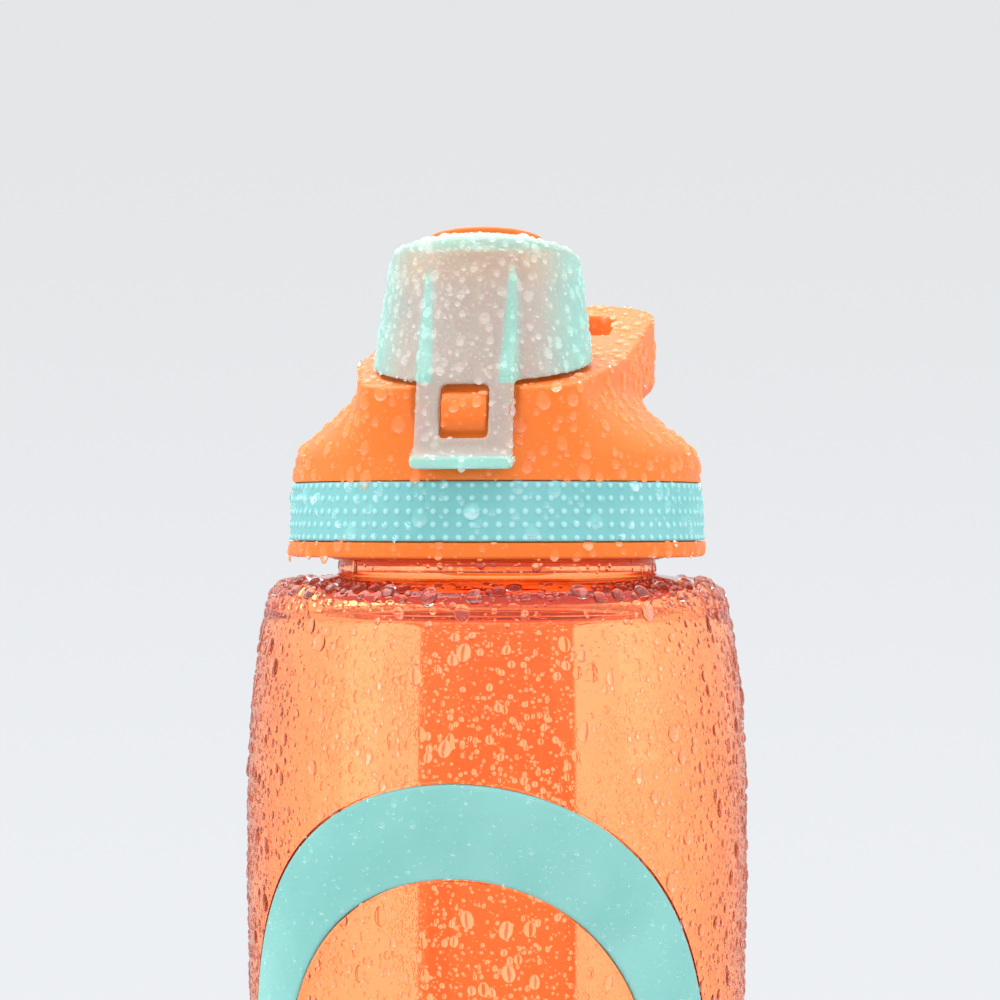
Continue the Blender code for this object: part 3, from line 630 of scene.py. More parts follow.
def adopt_normals(item: bpy.types.Object, clean: bpy.types.Object) -> None:
    """Give a cut piece the shading of the clean form that it was cut from.

    Args:
        item: the cut piece.
        clean: the form before the cuts, which is used up.
    """
    source = clean.data
    source.shade_smooth()
    source.set_sharp_from_angle(angle=math.radians(40))
    tree = BVHTree.FromPolygons([v.co for v in source.vertices],
                                [p.vertices for p in source.polygons])
    corners = [normal.vector.copy() for normal in source.corner_normals]
    shade(item)
    mesh = item.data
    normals = [normal.vector.copy() for normal in mesh.corner_normals]
    for polygon in mesh.polygons:
        spot, facing, index, distance = tree.find_nearest(polygon.center)
        if index is None or distance > 0.1 * MM or facing.dot(polygon.normal) < 0.97:
            continue
        for loop in polygon.loop_indices:
            place = mesh.vertices[mesh.loops[loop].vertex_index].co
            spot, facing, index, distance = tree.find_nearest(place)
            if facing.dot(polygon.normal) < 0.9:
                continue
            near = source.polygons[index]
            weights = poly_3d_calc([source.vertices[v].co for v in near.vertices], spot)
            blend = Vector((0, 0, 0))
            for weight, corner in zip(weights, near.loop_indices):
                blend += weight * corners[corner]
            if blend.length > 0.5:
                normals[loop] = blend.normalized()
    mesh.normals_split_custom_set(normals)
    bpy.data.objects.remove(clean, do_unlink=True)


def rounded(corners: Sequence[Point], steps: int = 8) -> list[tuple[float, float]]:
    """Round an outline's corners.

    Args:
        corners: (x, y, radius) of each corner.
        steps: pieces of each arc.

    Returns:
        The outline's points.
    """
    outline = []
    count = len(corners)
    for i, (x, y, radius) in enumerate(corners):
        corner = Vector((x, y))
        if radius <= 0:
            outline.append((x, y))
            continue
        before = (Vector(corners[i - 1][:2]) - corner).normalized()
        after = (Vector(corners[(i + 1) % count][:2]) - corner).normalized()
        half = before.angle(after) / 2
        centre = corner + (before + after).normalized() * (radius / math.sin(half))
        start = corner + before * (radius / math.tan(half)) - centre
        sweep = start.angle_signed(corner + after * (radius / math.tan(half)) - centre)
        for step in range(steps + 1):
            turn = Matrix.Rotation(-sweep * step / steps, 2)
            outline.append(tuple(centre + turn @ start))
    return outline


def smoothstep(share: float) -> float:
    """Ease a share of 0 to 1."""
    share = min(max(share, 0.0), 1.0)
    return share * share * (3 - 2 * share)


def helix(name: str, radius: float, start: float, turns: float, pitch: float,
          bead: float) -> bpy.types.Object:
    """A round thread that thins out at both ends.

    Args:
        name: the object's name.
        radius: distance of its middle from the axis.
        start: height of its first point.
        turns: how often it goes round.
        pitch: rise a turn.
        bead: radius of its section.

    Returns:
        The thread as a closed mesh.
    """
    around, sides = 64, 12
    count = round(turns * around)
    verts: list[Point] = []
    for i in range(count + 1):
        angle = 2 * math.pi * i / around
        fade = bead * min(1.0, 0.25 + 0.08 * min(i, count - i))
        for side in range(sides):
            tilt = 2 * math.pi * side / sides
            reach = radius + fade * math.cos(tilt)
            verts.append((reach * math.cos(angle), reach * math.sin(angle),
                          start + pitch * i / around + fade * math.sin(tilt)))
    faces = [tuple(range(sides)),
             tuple(range((count + 1) * sides - 1, count * sides - 1, -1))]
    for i in range(count):
        for side in range(sides):
            following = (side + 1) % sides
            faces.append((i * sides + side, (i + 1) * sides + side,
                          (i + 1) * sides + following, i * sides + following))
    item = new_object(name, verts, faces)
    mend(item)
    return item


def hand_in(item: bpy.types.Object, body: Body,
            nodes: Sequence[str] = ()) -> bpy.types.Object:
    """Tie a finished piece to its body, hide the solids it stands for and report its faces."""
    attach(item, body.value)
    if nodes:
        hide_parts(*nodes)
    LOG.info("%s: %d faces on %s", item.name, len(item.data.polygons), body.value)
    return item


# ------------------------------------------------------------------ bottle body and ring

@dataclass
class Barrel:
    """The clear body with its neck, thread and the groove for the grip ring."""

    height: float = 158.4 * MM
    waist_radius: float = 39.5 * MM
    bulge_rise: float = 0.53 * MM
    bulge_offset: float = 35.8 * MM
    corner_drop: float = 4.8 * MM
    corner_tuck: float = 2.3 * MM
    corner_width: float = 5.0 * MM
    shoulder_rise: float = 0.9 * MM
    wall: float = 2.6 * MM
    neck_radius: float = 25.5 * MM
    neck_wall: float = 2.3 * MM
    neck_length: float = 17.5 * MM
    bead_width: float = 1.1 * MM
    bead_base: float = 2.4 * MM
    push_up: float = 5.0 * MM
    ring_squeeze: float = 0.88
    segments: int = 224

    @property
    def waist(self) -> float:
        """Height of the middle of the barrel."""
        return self.height / 2

    @property
    def neck_top(self) -> float:
        """Height of the mouth."""
        return self.height + self.neck_length

    def radius(self, height: float) -> float:
        """Outer radius of the barrel at a height."""
        offset = abs(height - self.waist)
        swell = self.waist_radius + self.bulge_rise
        if offset < self.bulge_offset:
            quarter = math.pi / 2 * offset / self.bulge_offset
            return self.waist_radius + self.bulge_rise * math.sin(quarter) ** 2
        reach = self.waist - self.corner_drop - self.bulge_offset
        share = (offset - self.bulge_offset) / reach
        return swell - (self.bulge_rise + self.corner_tuck) * share ** 2.8

    def side(self, inset: float, low: float, high: float, steps: int) -> list[Point]:
        """The barrel's wall from high to low, moved inwards by an inset."""
        heights = [high + (low - high) * i / steps for i in range(steps + 1)]
        return [(self.radius(height) - inset, height) for height in heights]

    def corner(self, inset: float, steps: int = 14) -> list[Point]:
        """The rounded shoulder, moved inwards."""
        edge = self.radius(self.height - self.corner_drop) - inset
        width, drop = self.corner_width - inset / 2, self.corner_drop - inset / 2
        low = self.height - self.corner_drop - inset / 2
        points = []
        for step in range(steps):
            angle = math.pi / 2 * step / steps
            points.append((edge - width + width * math.sin(angle),
                           low + drop * math.cos(angle)))
        return points

    def profile(self) -> list[Point]:
        """The whole outline, down the outside and up the inside."""
        neck, mouth = self.neck_radius, self.neck_top
        bead = self.height + self.shoulder_rise + self.bead_base
        inner_neck = neck - self.neck_wall
        top = rounded([(inner_neck, mouth, 0.5 * MM), (neck, mouth, 0.5 * MM),
                       (neck, bead + 1.4 * MM, 0.3 * MM),
                       (neck + self.bead_width, bead + 1.4 * MM, 0.4 * MM),
                       (neck + self.bead_width, bead, 0.4 * MM),
                       (neck, bead, 0.3 * MM),
                       (neck, self.height + self.shoulder_rise, 0.8 * MM),
                       (neck + 4 * MM, self.height + 0.4 * MM, 3.0 * MM),
                       (neck + 6.4 * MM, self.height, 0.0)], 6)[:-1]
        outer = top + self.corner(0.0)
        outer += self.side(0.0, self.corner_drop, self.height - self.corner_drop, 110)
        edge = self.radius(self.corner_drop)
        foot = edge - 4.0 * MM
        outer += [(foot + 4.0 * MM * math.cos(angle),
                   self.corner_drop * (1 - math.sin(angle)))
                  for angle in (math.pi / 2 * i / 10 for i in range(1, 11))]
        outer += rounded([(foot, 0, 0.0), (foot - 5 * MM, 0, 0.8 * MM),
                          (foot - 8 * MM, self.push_up * 0.7, 3 * MM),
                          (foot - 15 * MM, self.push_up, 6 * MM),
                          (0.0, self.push_up + 1 * MM, 0.0)])[1:]
        floor = self.push_up + self.wall
        inner_edge = edge - self.wall
        inner = rounded([(0.0, floor + 1 * MM, 0.0),
                         (foot - 13 * MM, floor, 6 * MM),
                         (inner_edge, floor, 4 * MM),
                         (inner_edge + 0.3 * MM, floor + 6 * MM, 0.0)])
        inner += reversed(self.side(self.wall, floor + 6 * MM,
                                    self.height - self.corner_drop - self.wall / 2, 90))
        inner += list(reversed(self.corner(self.wall)))[1:]
        ceiling = self.height - self.wall
        inner += rounded([(inner_edge - 6.5 * MM, ceiling, 0.0),
                          (inner_neck, ceiling + self.shoulder_rise, 2.0 * MM),
                          (inner_neck, mouth - 1 * MM, 0.0)])[1:]
        return outer + inner

    def band_point(self, reach: float, angle: float, depth: float) -> Vector:
        """A point of a flat ring laid round the front.

        Args:
            reach: distance from the ring's middle, laid flat.
            angle: bearing round the ring, from +X upwards.
            depth: distance out of the barrel's surface.

        Returns:
            The point.
        """
        height = self.waist + reach * math.sin(angle)
        bearing = self.ring_squeeze * reach * math.cos(angle) / self.waist_radius
        out = self.radius(height) + depth
        return Vector((out * math.sin(bearing), -out * math.cos(bearing), height))

    def build(self, groove: bpy.types.Object,
              clear: bpy.types.Material) -> bpy.types.Object:
        """Make the body.

        Args:
            groove: the form that the grip ring's groove is cut with.
            clear: its finish.

        Returns:
            The finished piece.
        """
        body = lathe("body_clear", self.profile(), self.segments, material=clear)
        mend(body)
        clean = body.copy()
        clean.data = body.data.copy()
        combine(body, groove, "DIFFERENCE")
        thread = helix("neck_thread", self.neck_radius, self.height + 8 * MM, 1.5, 4 * MM,
                       1.0 * MM)
        combine(body, thread, "UNION")
        body.data.materials.clear()
        body.data.materials.append(clear)
        adopt_normals(body, clean)
        return hand_in(body, Body.BOTTLE, ["bottle_body"])


@dataclass
class GripRing:
    """The soft ring in its groove on the front of the barrel."""

    barrel: Barrel
    radius: float = 43.0 * MM
    width: float = 14.0 * MM
    depth: float = 1.0 * MM
    crown: float = 0.45 * MM
    edge: float = 0.9 * MM
    gap: float = 0.3 * MM
    steps: int = 288

    def sweep(self, name: str, section: Sequence[Point],
              material: bpy.types.Material | None = None) -> bpy.types.Object:
        """Carry a section of (reach, depth) points round the ring."""
        verts = []
        for step in range(self.steps):
            angle = 2 * math.pi * step / self.steps
            verts += [self.barrel.band_point(reach, angle, depth) for reach, depth in section]
        count = len(section)
        faces = []
        for step in range(self.steps):
            here, following = step * count, (step + 1) % self.steps * count
            for i in range(count):
                j = (i + 1) % count
                faces.append((here + i, following + i, following + j, here + j))
        item = new_object(name, verts, faces, material)
        mend(item)
        return item

    def groove(self) -> bpy.types.Object:
        """The form that cuts the groove."""
        half = self.width / 2 + self.gap
        floor = -self.depth - self.gap
        across = [(self.radius + half * (i / 8 - 1), floor) for i in range(17)]
        return self.sweep("ring_groove", across + [(reach, 2 * MM) for reach, _ in
                                                   reversed(across)])

    def build(self, rubber: bpy.types.Material) -> bpy.types.Object:
        """Make the ring."""
        half = self.width / 2
        flat = half - self.edge
        section: list[Point] = []
        for i in range(6):
            angle = math.pi / 2 * i / 6
            section.append((self.radius - flat - self.edge * math.cos(angle),
                            -0.3 * MM + 0.5 * MM * math.sin(angle)))
        for i in range(17):
            share = i / 8 - 1
            section.append((self.radius + flat * share,
                            self.crown - 0.25 * MM * share ** 2))
        for i in range(1, 7):
            angle = math.pi / 2 * (1 - i / 6)
            section.append((self.radius + flat + self.edge * math.cos(angle),
                            -0.3 * MM + 0.5 * MM * math.sin(angle)))
        section += [(self.radius + half * (1 - i / 4), -self.depth) for i in range(9)]
        ring = self.sweep("ring_soft", section, rubber)
        shade(ring)
        return hand_in(ring, Body.BOTTLE, ["grip_ring"])


# ------------------------------------------------------------------ lid

@dataclass
class Lid:
    """Sizes of the lid that its pieces share, and its shell with the carry loop."""

    base: float = 162.2 * MM
    radius: float = 33.3 * MM
    cavity: float = 29.4 * MM
    skirt: float = 32.7 * MM
    skirt_draft: float = 0.35 * MM
    seat: float = 31.9 * MM
    band_low: float = 164.6 * MM
    band_high: float = 174.0 * MM
    flare_base: float = 177.8 * MM
    flare_height: float = 10.5 * MM
    flare_top: float = 27.0 * MM
    flare_share: float = 0.72
    front_height: float = 10.4 * MM
    wall: float = 2.5 * MM
    top_height: float = 32.37 * MM
    top_slope: float = 0.215
    top_curl: float = 1.472
    centre: float = -6.0 * MM
    loop_reach: float = 40.2 * MM
    loop_half: float = 22.9 * MM
    loop_low: float = 188.9 * MM
    spout_ahead: float = 13.0 * MM
    spout_level: float = 29.8 * MM
    spout_tilt: float = math.radians(7.3)
    hasp_thick: float = 1.8 * MM
    segments: int = 180
    hinge: Vector = field(default_factory=lambda: Vector((0, 7.5 * MM, 200 * MM)))

    @property
    def spout(self) -> Matrix:
        """The frame that the spout and the cap are turned in."""
        place = Matrix.Translation((0, -self.spout_ahead, self.base + self.spout_level))
        return place @ Matrix.Rotation(-self.spout_tilt, 4, "X")

    @property
    def above(self) -> float:
        """A height above everything on the lid."""
        return self.base + self.top_height + 16 * MM

    def top(self, y: float) -> float:
        """Height of the slanted top."""
        return self.base + self.top_height + self.top_slope * y \
            + self.top_curl * max(y, 0.0) ** 2

    def over(self, shift: float) -> bpy.types.Object:
        """The space over the slanted top, raised by a shift."""
        line = [(y * MM, self.top(y * MM) + shift)
                for y in (-60, -20, 0, 4, 8, 12, 16, 20, 24, 28, 32, 36, 40, 45, 50)]
        line += [(50 * MM, self.above + 20 * MM), (-60 * MM, self.above + 20 * MM)]
        return prism("over", line, -60 * MM, 60 * MM)

    def deck(self) -> list[tuple[float, float]]:
        """Plan of the top without the loop."""
        right = [(16.2 * MM, -30.4 * MM, 6 * MM), (20.9 * MM, -9 * MM, 40 * MM),
                 (22.2 * MM, 18.3 * MM, 5 * MM)]
        left = [(-x, y, r) for x, y, r in reversed(right)]
        return rounded(right + left, 12)

    def reach(self, outline: Sequence[Point], angle: float) -> float:
        """Distance from the loft's centre to an outline, along a bearing."""
        direction = Vector((math.cos(angle), math.sin(angle)))
        centre = Vector((0, self.centre))
        found = 0.0
        for a, b in zip(outline, list(outline[1:]) + list(outline[:1])):
            edge = Vector(b) - Vector(a)
            spread = direction.cross(edge)
            if abs(spread) < 1e-12:
                continue
            start = Vector(a) - centre
            if -1e-6 <= start.cross(direction) / spread <= 1 + 1e-6:
                found = max(found, start.cross(edge) / spread)
        return found

    def level(self, height: float, radius: float, inset: float) -> list[Point]:
        """One ring of the loft between the round skirt and the plan of the top."""
        rise = height - self.flare_base
        side = self.flare_share * smoothstep(rise / self.flare_height)
        side += (1 - self.flare_share) * min(max(rise / (self.flare_top - 15.6 * MM), 0), 1)
        front = min(max(rise / self.front_height, 0.0), 1.0)
        ring = []
        for step in range(self.segments):
            angle = 2 * math.pi * step / self.segments
            facing = smoothstep((-math.sin(angle) - 0.5) / 0.35)
            share = side + (front - side) * facing
            base = math.sqrt(radius ** 2 - (self.centre * math.cos(angle)) ** 2) \
                - self.centre * math.sin(angle)
            thinning = inset + (1.6 * MM * facing if inset else 0.0)
            reach = base + (self.plan[step] - thinning - base) * share
            ring.append((reach * math.cos(angle), self.centre + reach * math.sin(angle),
                         height))
        return ring

    def loft(self, name: str, levels: Sequence[tuple[float, float, float]]) -> bpy.types.Object:
        """A closed form through (height, radius, inset) levels, from the bottom up."""
        outline = self.deck()
        self.plan = [self.reach(outline, 2 * math.pi * step / self.segments)
                     for step in range(self.segments)]
        rings = [self.level(*values) for values in levels]
        rings.append([(x, y, self.above) for x, y, z in rings[-1]])
        count = self.segments
        faces = [tuple(range(count))]
        for row in range(len(rings) - 1):
            for i in range(count):
                j = (i + 1) % count
                faces.append((row * count + i, row * count + j, (row + 1) * count + j,
                              (row + 1) * count + i))
        last = (len(rings) - 1) * count
        faces.append(tuple(range(last, last + count)))
        item = new_object(name, [point for ring in rings for point in ring], faces)
        mend(item)
        return item

    def loop(self) -> bpy.types.Object:
        """The carry loop as a tall band."""
        half, reach = self.loop_half, self.loop_reach
        outer = rounded([(half - 1.3 * MM, 12 * MM, 1 * MM), (half, reach, 10 * MM),
                         (-half, reach, 10 * MM), (-half + 1.3 * MM, 12 * MM, 1 * MM)], 14)
        band = prism("loop", outer, self.loop_low, self.above, "Z")
        side, far = half - 7.0 * MM, reach - 7.2 * MM
        hole = rounded([(side, 15.8 * MM, 1 * MM), (side, far, 4 * MM), (-side, far, 4 * MM),
                        (-side, 15.8 * MM, 1 * MM)], 14)
        combine(band, prism("hole", hole, self.loop_low - 5 * MM, self.above + 5 * MM, "Z"),
                "DIFFERENCE")
        belly = rounded([(half + 1 * MM, self.above, 0.0), (-half - 1 * MM, self.above, 0.0),
                         (-half, self.loop_low + 8 * MM, 0.0), (-half, self.loop_low, 4.5 * MM),
                         (half, self.loop_low, 4.5 * MM), (half, self.loop_low + 8 * MM, 0.0)],
                        12)
        combine(band, prism("belly", belly, 8 * MM, 45 * MM, "Y"), "INTERSECT")
        return band

    def hasp_line(self, height: float, depth: float) -> float:
        """y of the hasp's plane at a height, at a depth behind its outer face."""
        foot, head = Vector((-34.45 * MM, 175.6 * MM)), Vector((-29.96 * MM, 194.17 * MM))
        slope = (head.x - foot.x) / (head.y - foot.y)
        return foot.x + slope * (height - foot.y) + depth * math.sqrt(1 + slope ** 2)

    def catch(self) -> bpy.types.Object:
        """The block that holds the hasp, rounded above and flat below."""
        low, high = 181.0 * MM, 187.3 * MM
        hook = self.hasp_line(low - 0.8 * MM, self.hasp_thick) - 0.33 * MM
        root = -28.0 * MM
        front = hook - 0.9 * MM
        outline = [(root, low), (hook, low), (front, low + 2.0 * MM),
                   (front + 0.15 * MM, high - 2.4 * MM), (front + 0.5 * MM, high - 1.2 * MM),
                   (front + 1.2 * MM, high - 0.35 * MM), (front + 2.2 * MM, high),
                   (root, high)]
        return prism("catch", outline, -3.45 * MM, 3.45 * MM)

    def build(self, orange: bpy.types.Material) -> bpy.types.Object:
        """Make the shell."""
        skirt = self.skirt - self.skirt_draft
        rises = [0, 0.4, 0.8, 1.3, 1.9, 2.6, 3.4, 4.3, 5.3, 6.4, 7.6, 8.8, 9.8, 10.5, 11.5,
                 13, 15, 18]
        levels = [(self.band_high - 4 * MM, self.skirt, 0.0), (self.band_high, self.skirt, 0.0)]
        levels += [(self.flare_base + rise * MM, skirt, 0.0) for rise in rises]
        shell = self.loft("shell_orange", levels)
        combine(shell, self.loop(), "UNION")
        combine(shell, self.over(0.0), "DIFFERENCE")
        low, high = 175.3 * MM, self.base + self.top_height
        back = [self.hasp_line(level, self.hasp_thick) + 0.3 * MM for level in (low, high)]
        pocket = [(-40 * MM, low), (back[0], low), (back[1], high), (-40 * MM, high)]
        combine(shell, prism("pocket", pocket, -8.1 * MM, 8.1 * MM), "DIFFERENCE")
        combine(shell, self.catch(), "UNION")
        root = self.top(self.hinge.y) - 1.5 * MM
        for side in (-1, 1):
            near, far = sorted((side * 5.3 * MM, side * 9.0 * MM))
            post = [(self.hinge.y - 2.4 * MM, root), (self.hinge.y + 2.4 * MM, root),
                    (self.hinge.y + 2.4 * MM, self.hinge.z),
                    (self.hinge.y - 2.4 * MM, self.hinge.z)]
            combine(shell, prism("post", post, near, far), "UNION")
            combine(shell, bar("barrel", 2.42 * MM, near, far, self.hinge), "UNION")
        soften(shell, 0.42 * MM, 5)
        combine(shell, prism("below", [(-50 * MM, 160 * MM), (50 * MM, 160 * MM),
                                       (50 * MM, self.band_high), (-50 * MM, self.band_high)],
                             -50 * MM, 50 * MM), "DIFFERENCE")
        rim = rounded([(26 * MM, self.flare_base, 0.0), (self.seat, self.flare_base, 0.0),
                       (self.seat, self.band_low, 0.0),
                       (self.radius, self.band_low, 0.25 * MM),
                       (self.radius, self.base, 0.5 * MM), (26 * MM, self.base, 0.0)])
        combine(shell, lathe("lip", rim, 240), "UNION")
        inside = [(self.base - 5 * MM, self.cavity, 0.0),
                  (self.flare_base - 0.5 * MM, self.cavity, 0.0)]
        inside += [(self.flare_base + rise * MM, self.cavity, self.wall)
                   for rise in rises[3::2]]
        cavity = self.loft("cavity", inside)
        combine(cavity, self.over(-self.wall), "DIFFERENCE")
        combine(shell, cavity, "DIFFERENCE")
        combine(shell, bar("bore", 1.4 * MM, -12 * MM, 12 * MM, self.hinge), "DIFFERENCE")
        hole = [(0, 14 * MM), (12.5 * MM, 14 * MM), (12.5 * MM, -20 * MM), (0, -20 * MM)]
        combine(shell, lathe("spout_hole", hole, 96, self.spout), "DIFFERENCE")
        shell.data.materials.clear()
        shell.data.materials.append(orange)
        shade(shell, 42)
        return hand_in(shell, Body.LID, ["lid_shell"])


@dataclass
class DottedBand:
    """The mint band round the lid with rows of raised dots."""

    lid: Lid
    draft: float = 0.5 * MM
    inner: float = 32.2 * MM
    rows: int = 5
    around: int = 105
    dot_radius: float = 0.52 * MM
    dot_height: float = 0.26 * MM
    per_dot: int = 10

    def build(self, rubber: bpy.types.Material) -> bpy.types.Object:
        """Make the band as one net whose points rise over each dot."""
        low, high = self.lid.band_low + 0.15 * MM, self.lid.band_high - 0.15 * MM
        columns = self.around * self.per_dot
        pitch = 2 * math.pi * self.lid.radius / self.around
        middle = (low + high) / 2
        bevel = 0.35 * MM
        heights = [high - bevel * (1 - math.cos(math.pi / 2 * i / 3)) for i in range(1, 4)]
        count = 42
        heights += [high - bevel + (low - high + 2 * bevel) * i / count
                    for i in range(1, count)]
        heights += [low + bevel * (1 - math.sin(math.pi / 2 * i / 3)) for i in range(0, 3)]
        verts: list[Point] = []
        steps = 2 * math.pi * np.arange(columns) / columns
        for height in heights:
            share = (height - low) / (high - low)
            base = self.lid.radius - self.draft * share
            edge = min(height - low, high - height)
            base -= 0.3 * MM * (1 - min(edge / bevel, 1.0)) ** 2
            row = round((height - middle) / pitch)
            reach = np.full(columns, base)
            if abs(row) <= self.rows // 2:
                along = (steps * self.lid.radius / pitch) % 1.0
                across = np.abs(along - 0.5) * pitch
                away = np.hypot(across, height - middle - row * pitch) / self.dot_radius
                reach += self.dot_height * np.clip(1 - away ** 2, 0, 1) ** 0.75
            verts += [(r * math.cos(a), r * math.sin(a), height)
                      for r, a in zip(reach, steps)]
        for radius, height in ((self.inner, low), (self.inner, high)):
            verts += [(radius * math.cos(a), radius * math.sin(a), height) for a in steps]
        total = len(heights) + 2
        faces = []
        for row in range(total):
            here, following = row * columns, (row + 1) % total * columns
            for i in range(columns):
                j = (i + 1) % columns
                faces.append((here + i, following + i, following + j, here + j))
        band = new_object("band_dotted", verts, faces, rubber)
        mend(band)
        shade(band, 60)
        return hand_in(band, Body.LID, ["lid_band"])


@dataclass
class Liner:
    """The threaded inside of the lid with the drinking spout."""

    lid: Lid
    barrel: Barrel
    bore: float = 26.9 * MM
    radius: float = 29.1 * MM
    spout_radius: float = 12.2 * MM
    spout_bore: float = 10.0 * MM
    spout_top: float = 13.6 * MM

    def build(self, orange: bpy.types.Material) -> bpy.types.Object:
        """Make the liner."""
        under = self.barrel.neck_top + 2.4 * MM
        over = under + 2.0 * MM
        low = self.lid.base + 0.3 * MM
        profile = rounded([(6 * MM, over, 0.0), (self.radius - 3.4 * MM, over, 1.5 * MM),
                           (self.radius, over - 3.4 * MM, 1.5 * MM),
                           (self.radius, low, 0.5 * MM), (self.bore, low, 0.5 * MM),
                           (self.bore, under, 0.3 * MM), (6 * MM, under, 0.0)])
        liner = lathe("liner_orange", profile, 200, material=orange)
        mend(liner)
        top, root = self.spout_top, -12.9 * MM
        tube = [(0, top)] + rounded([(0, top, 0.0), (self.spout_radius, top, 0.9 * MM),
                                     (self.spout_radius, root, 0.0), (0, root, 0.0)])[1:]
        combine(liner, lathe("tube", tube, 128, self.lid.spout), "UNION")
        seat = self.spout_bore + 1.4 * MM
        hole = [(0, top + 5 * MM), (seat + 0.5 * MM, top + 5 * MM), (seat + 0.5 * MM, top),
                (seat, top - 0.4 * MM), (seat, top - 0.8 * MM), (self.spout_bore, top - 2.2 * MM),
                (self.spout_bore, root - 8 * MM), (0, root - 8 * MM)]
        combine(liner, lathe("bore", hole, 128, self.lid.spout), "DIFFERENCE")
        thread = helix("liner_thread", self.bore, self.barrel.height + 6 * MM, 1.5, 4 * MM,
                       1.0 * MM)
        combine(liner, thread, "UNION")
        shade(liner)
        return hand_in(liner, Body.LID, ["lid_liner"])


# ------------------------------------------------------------------ flip cap

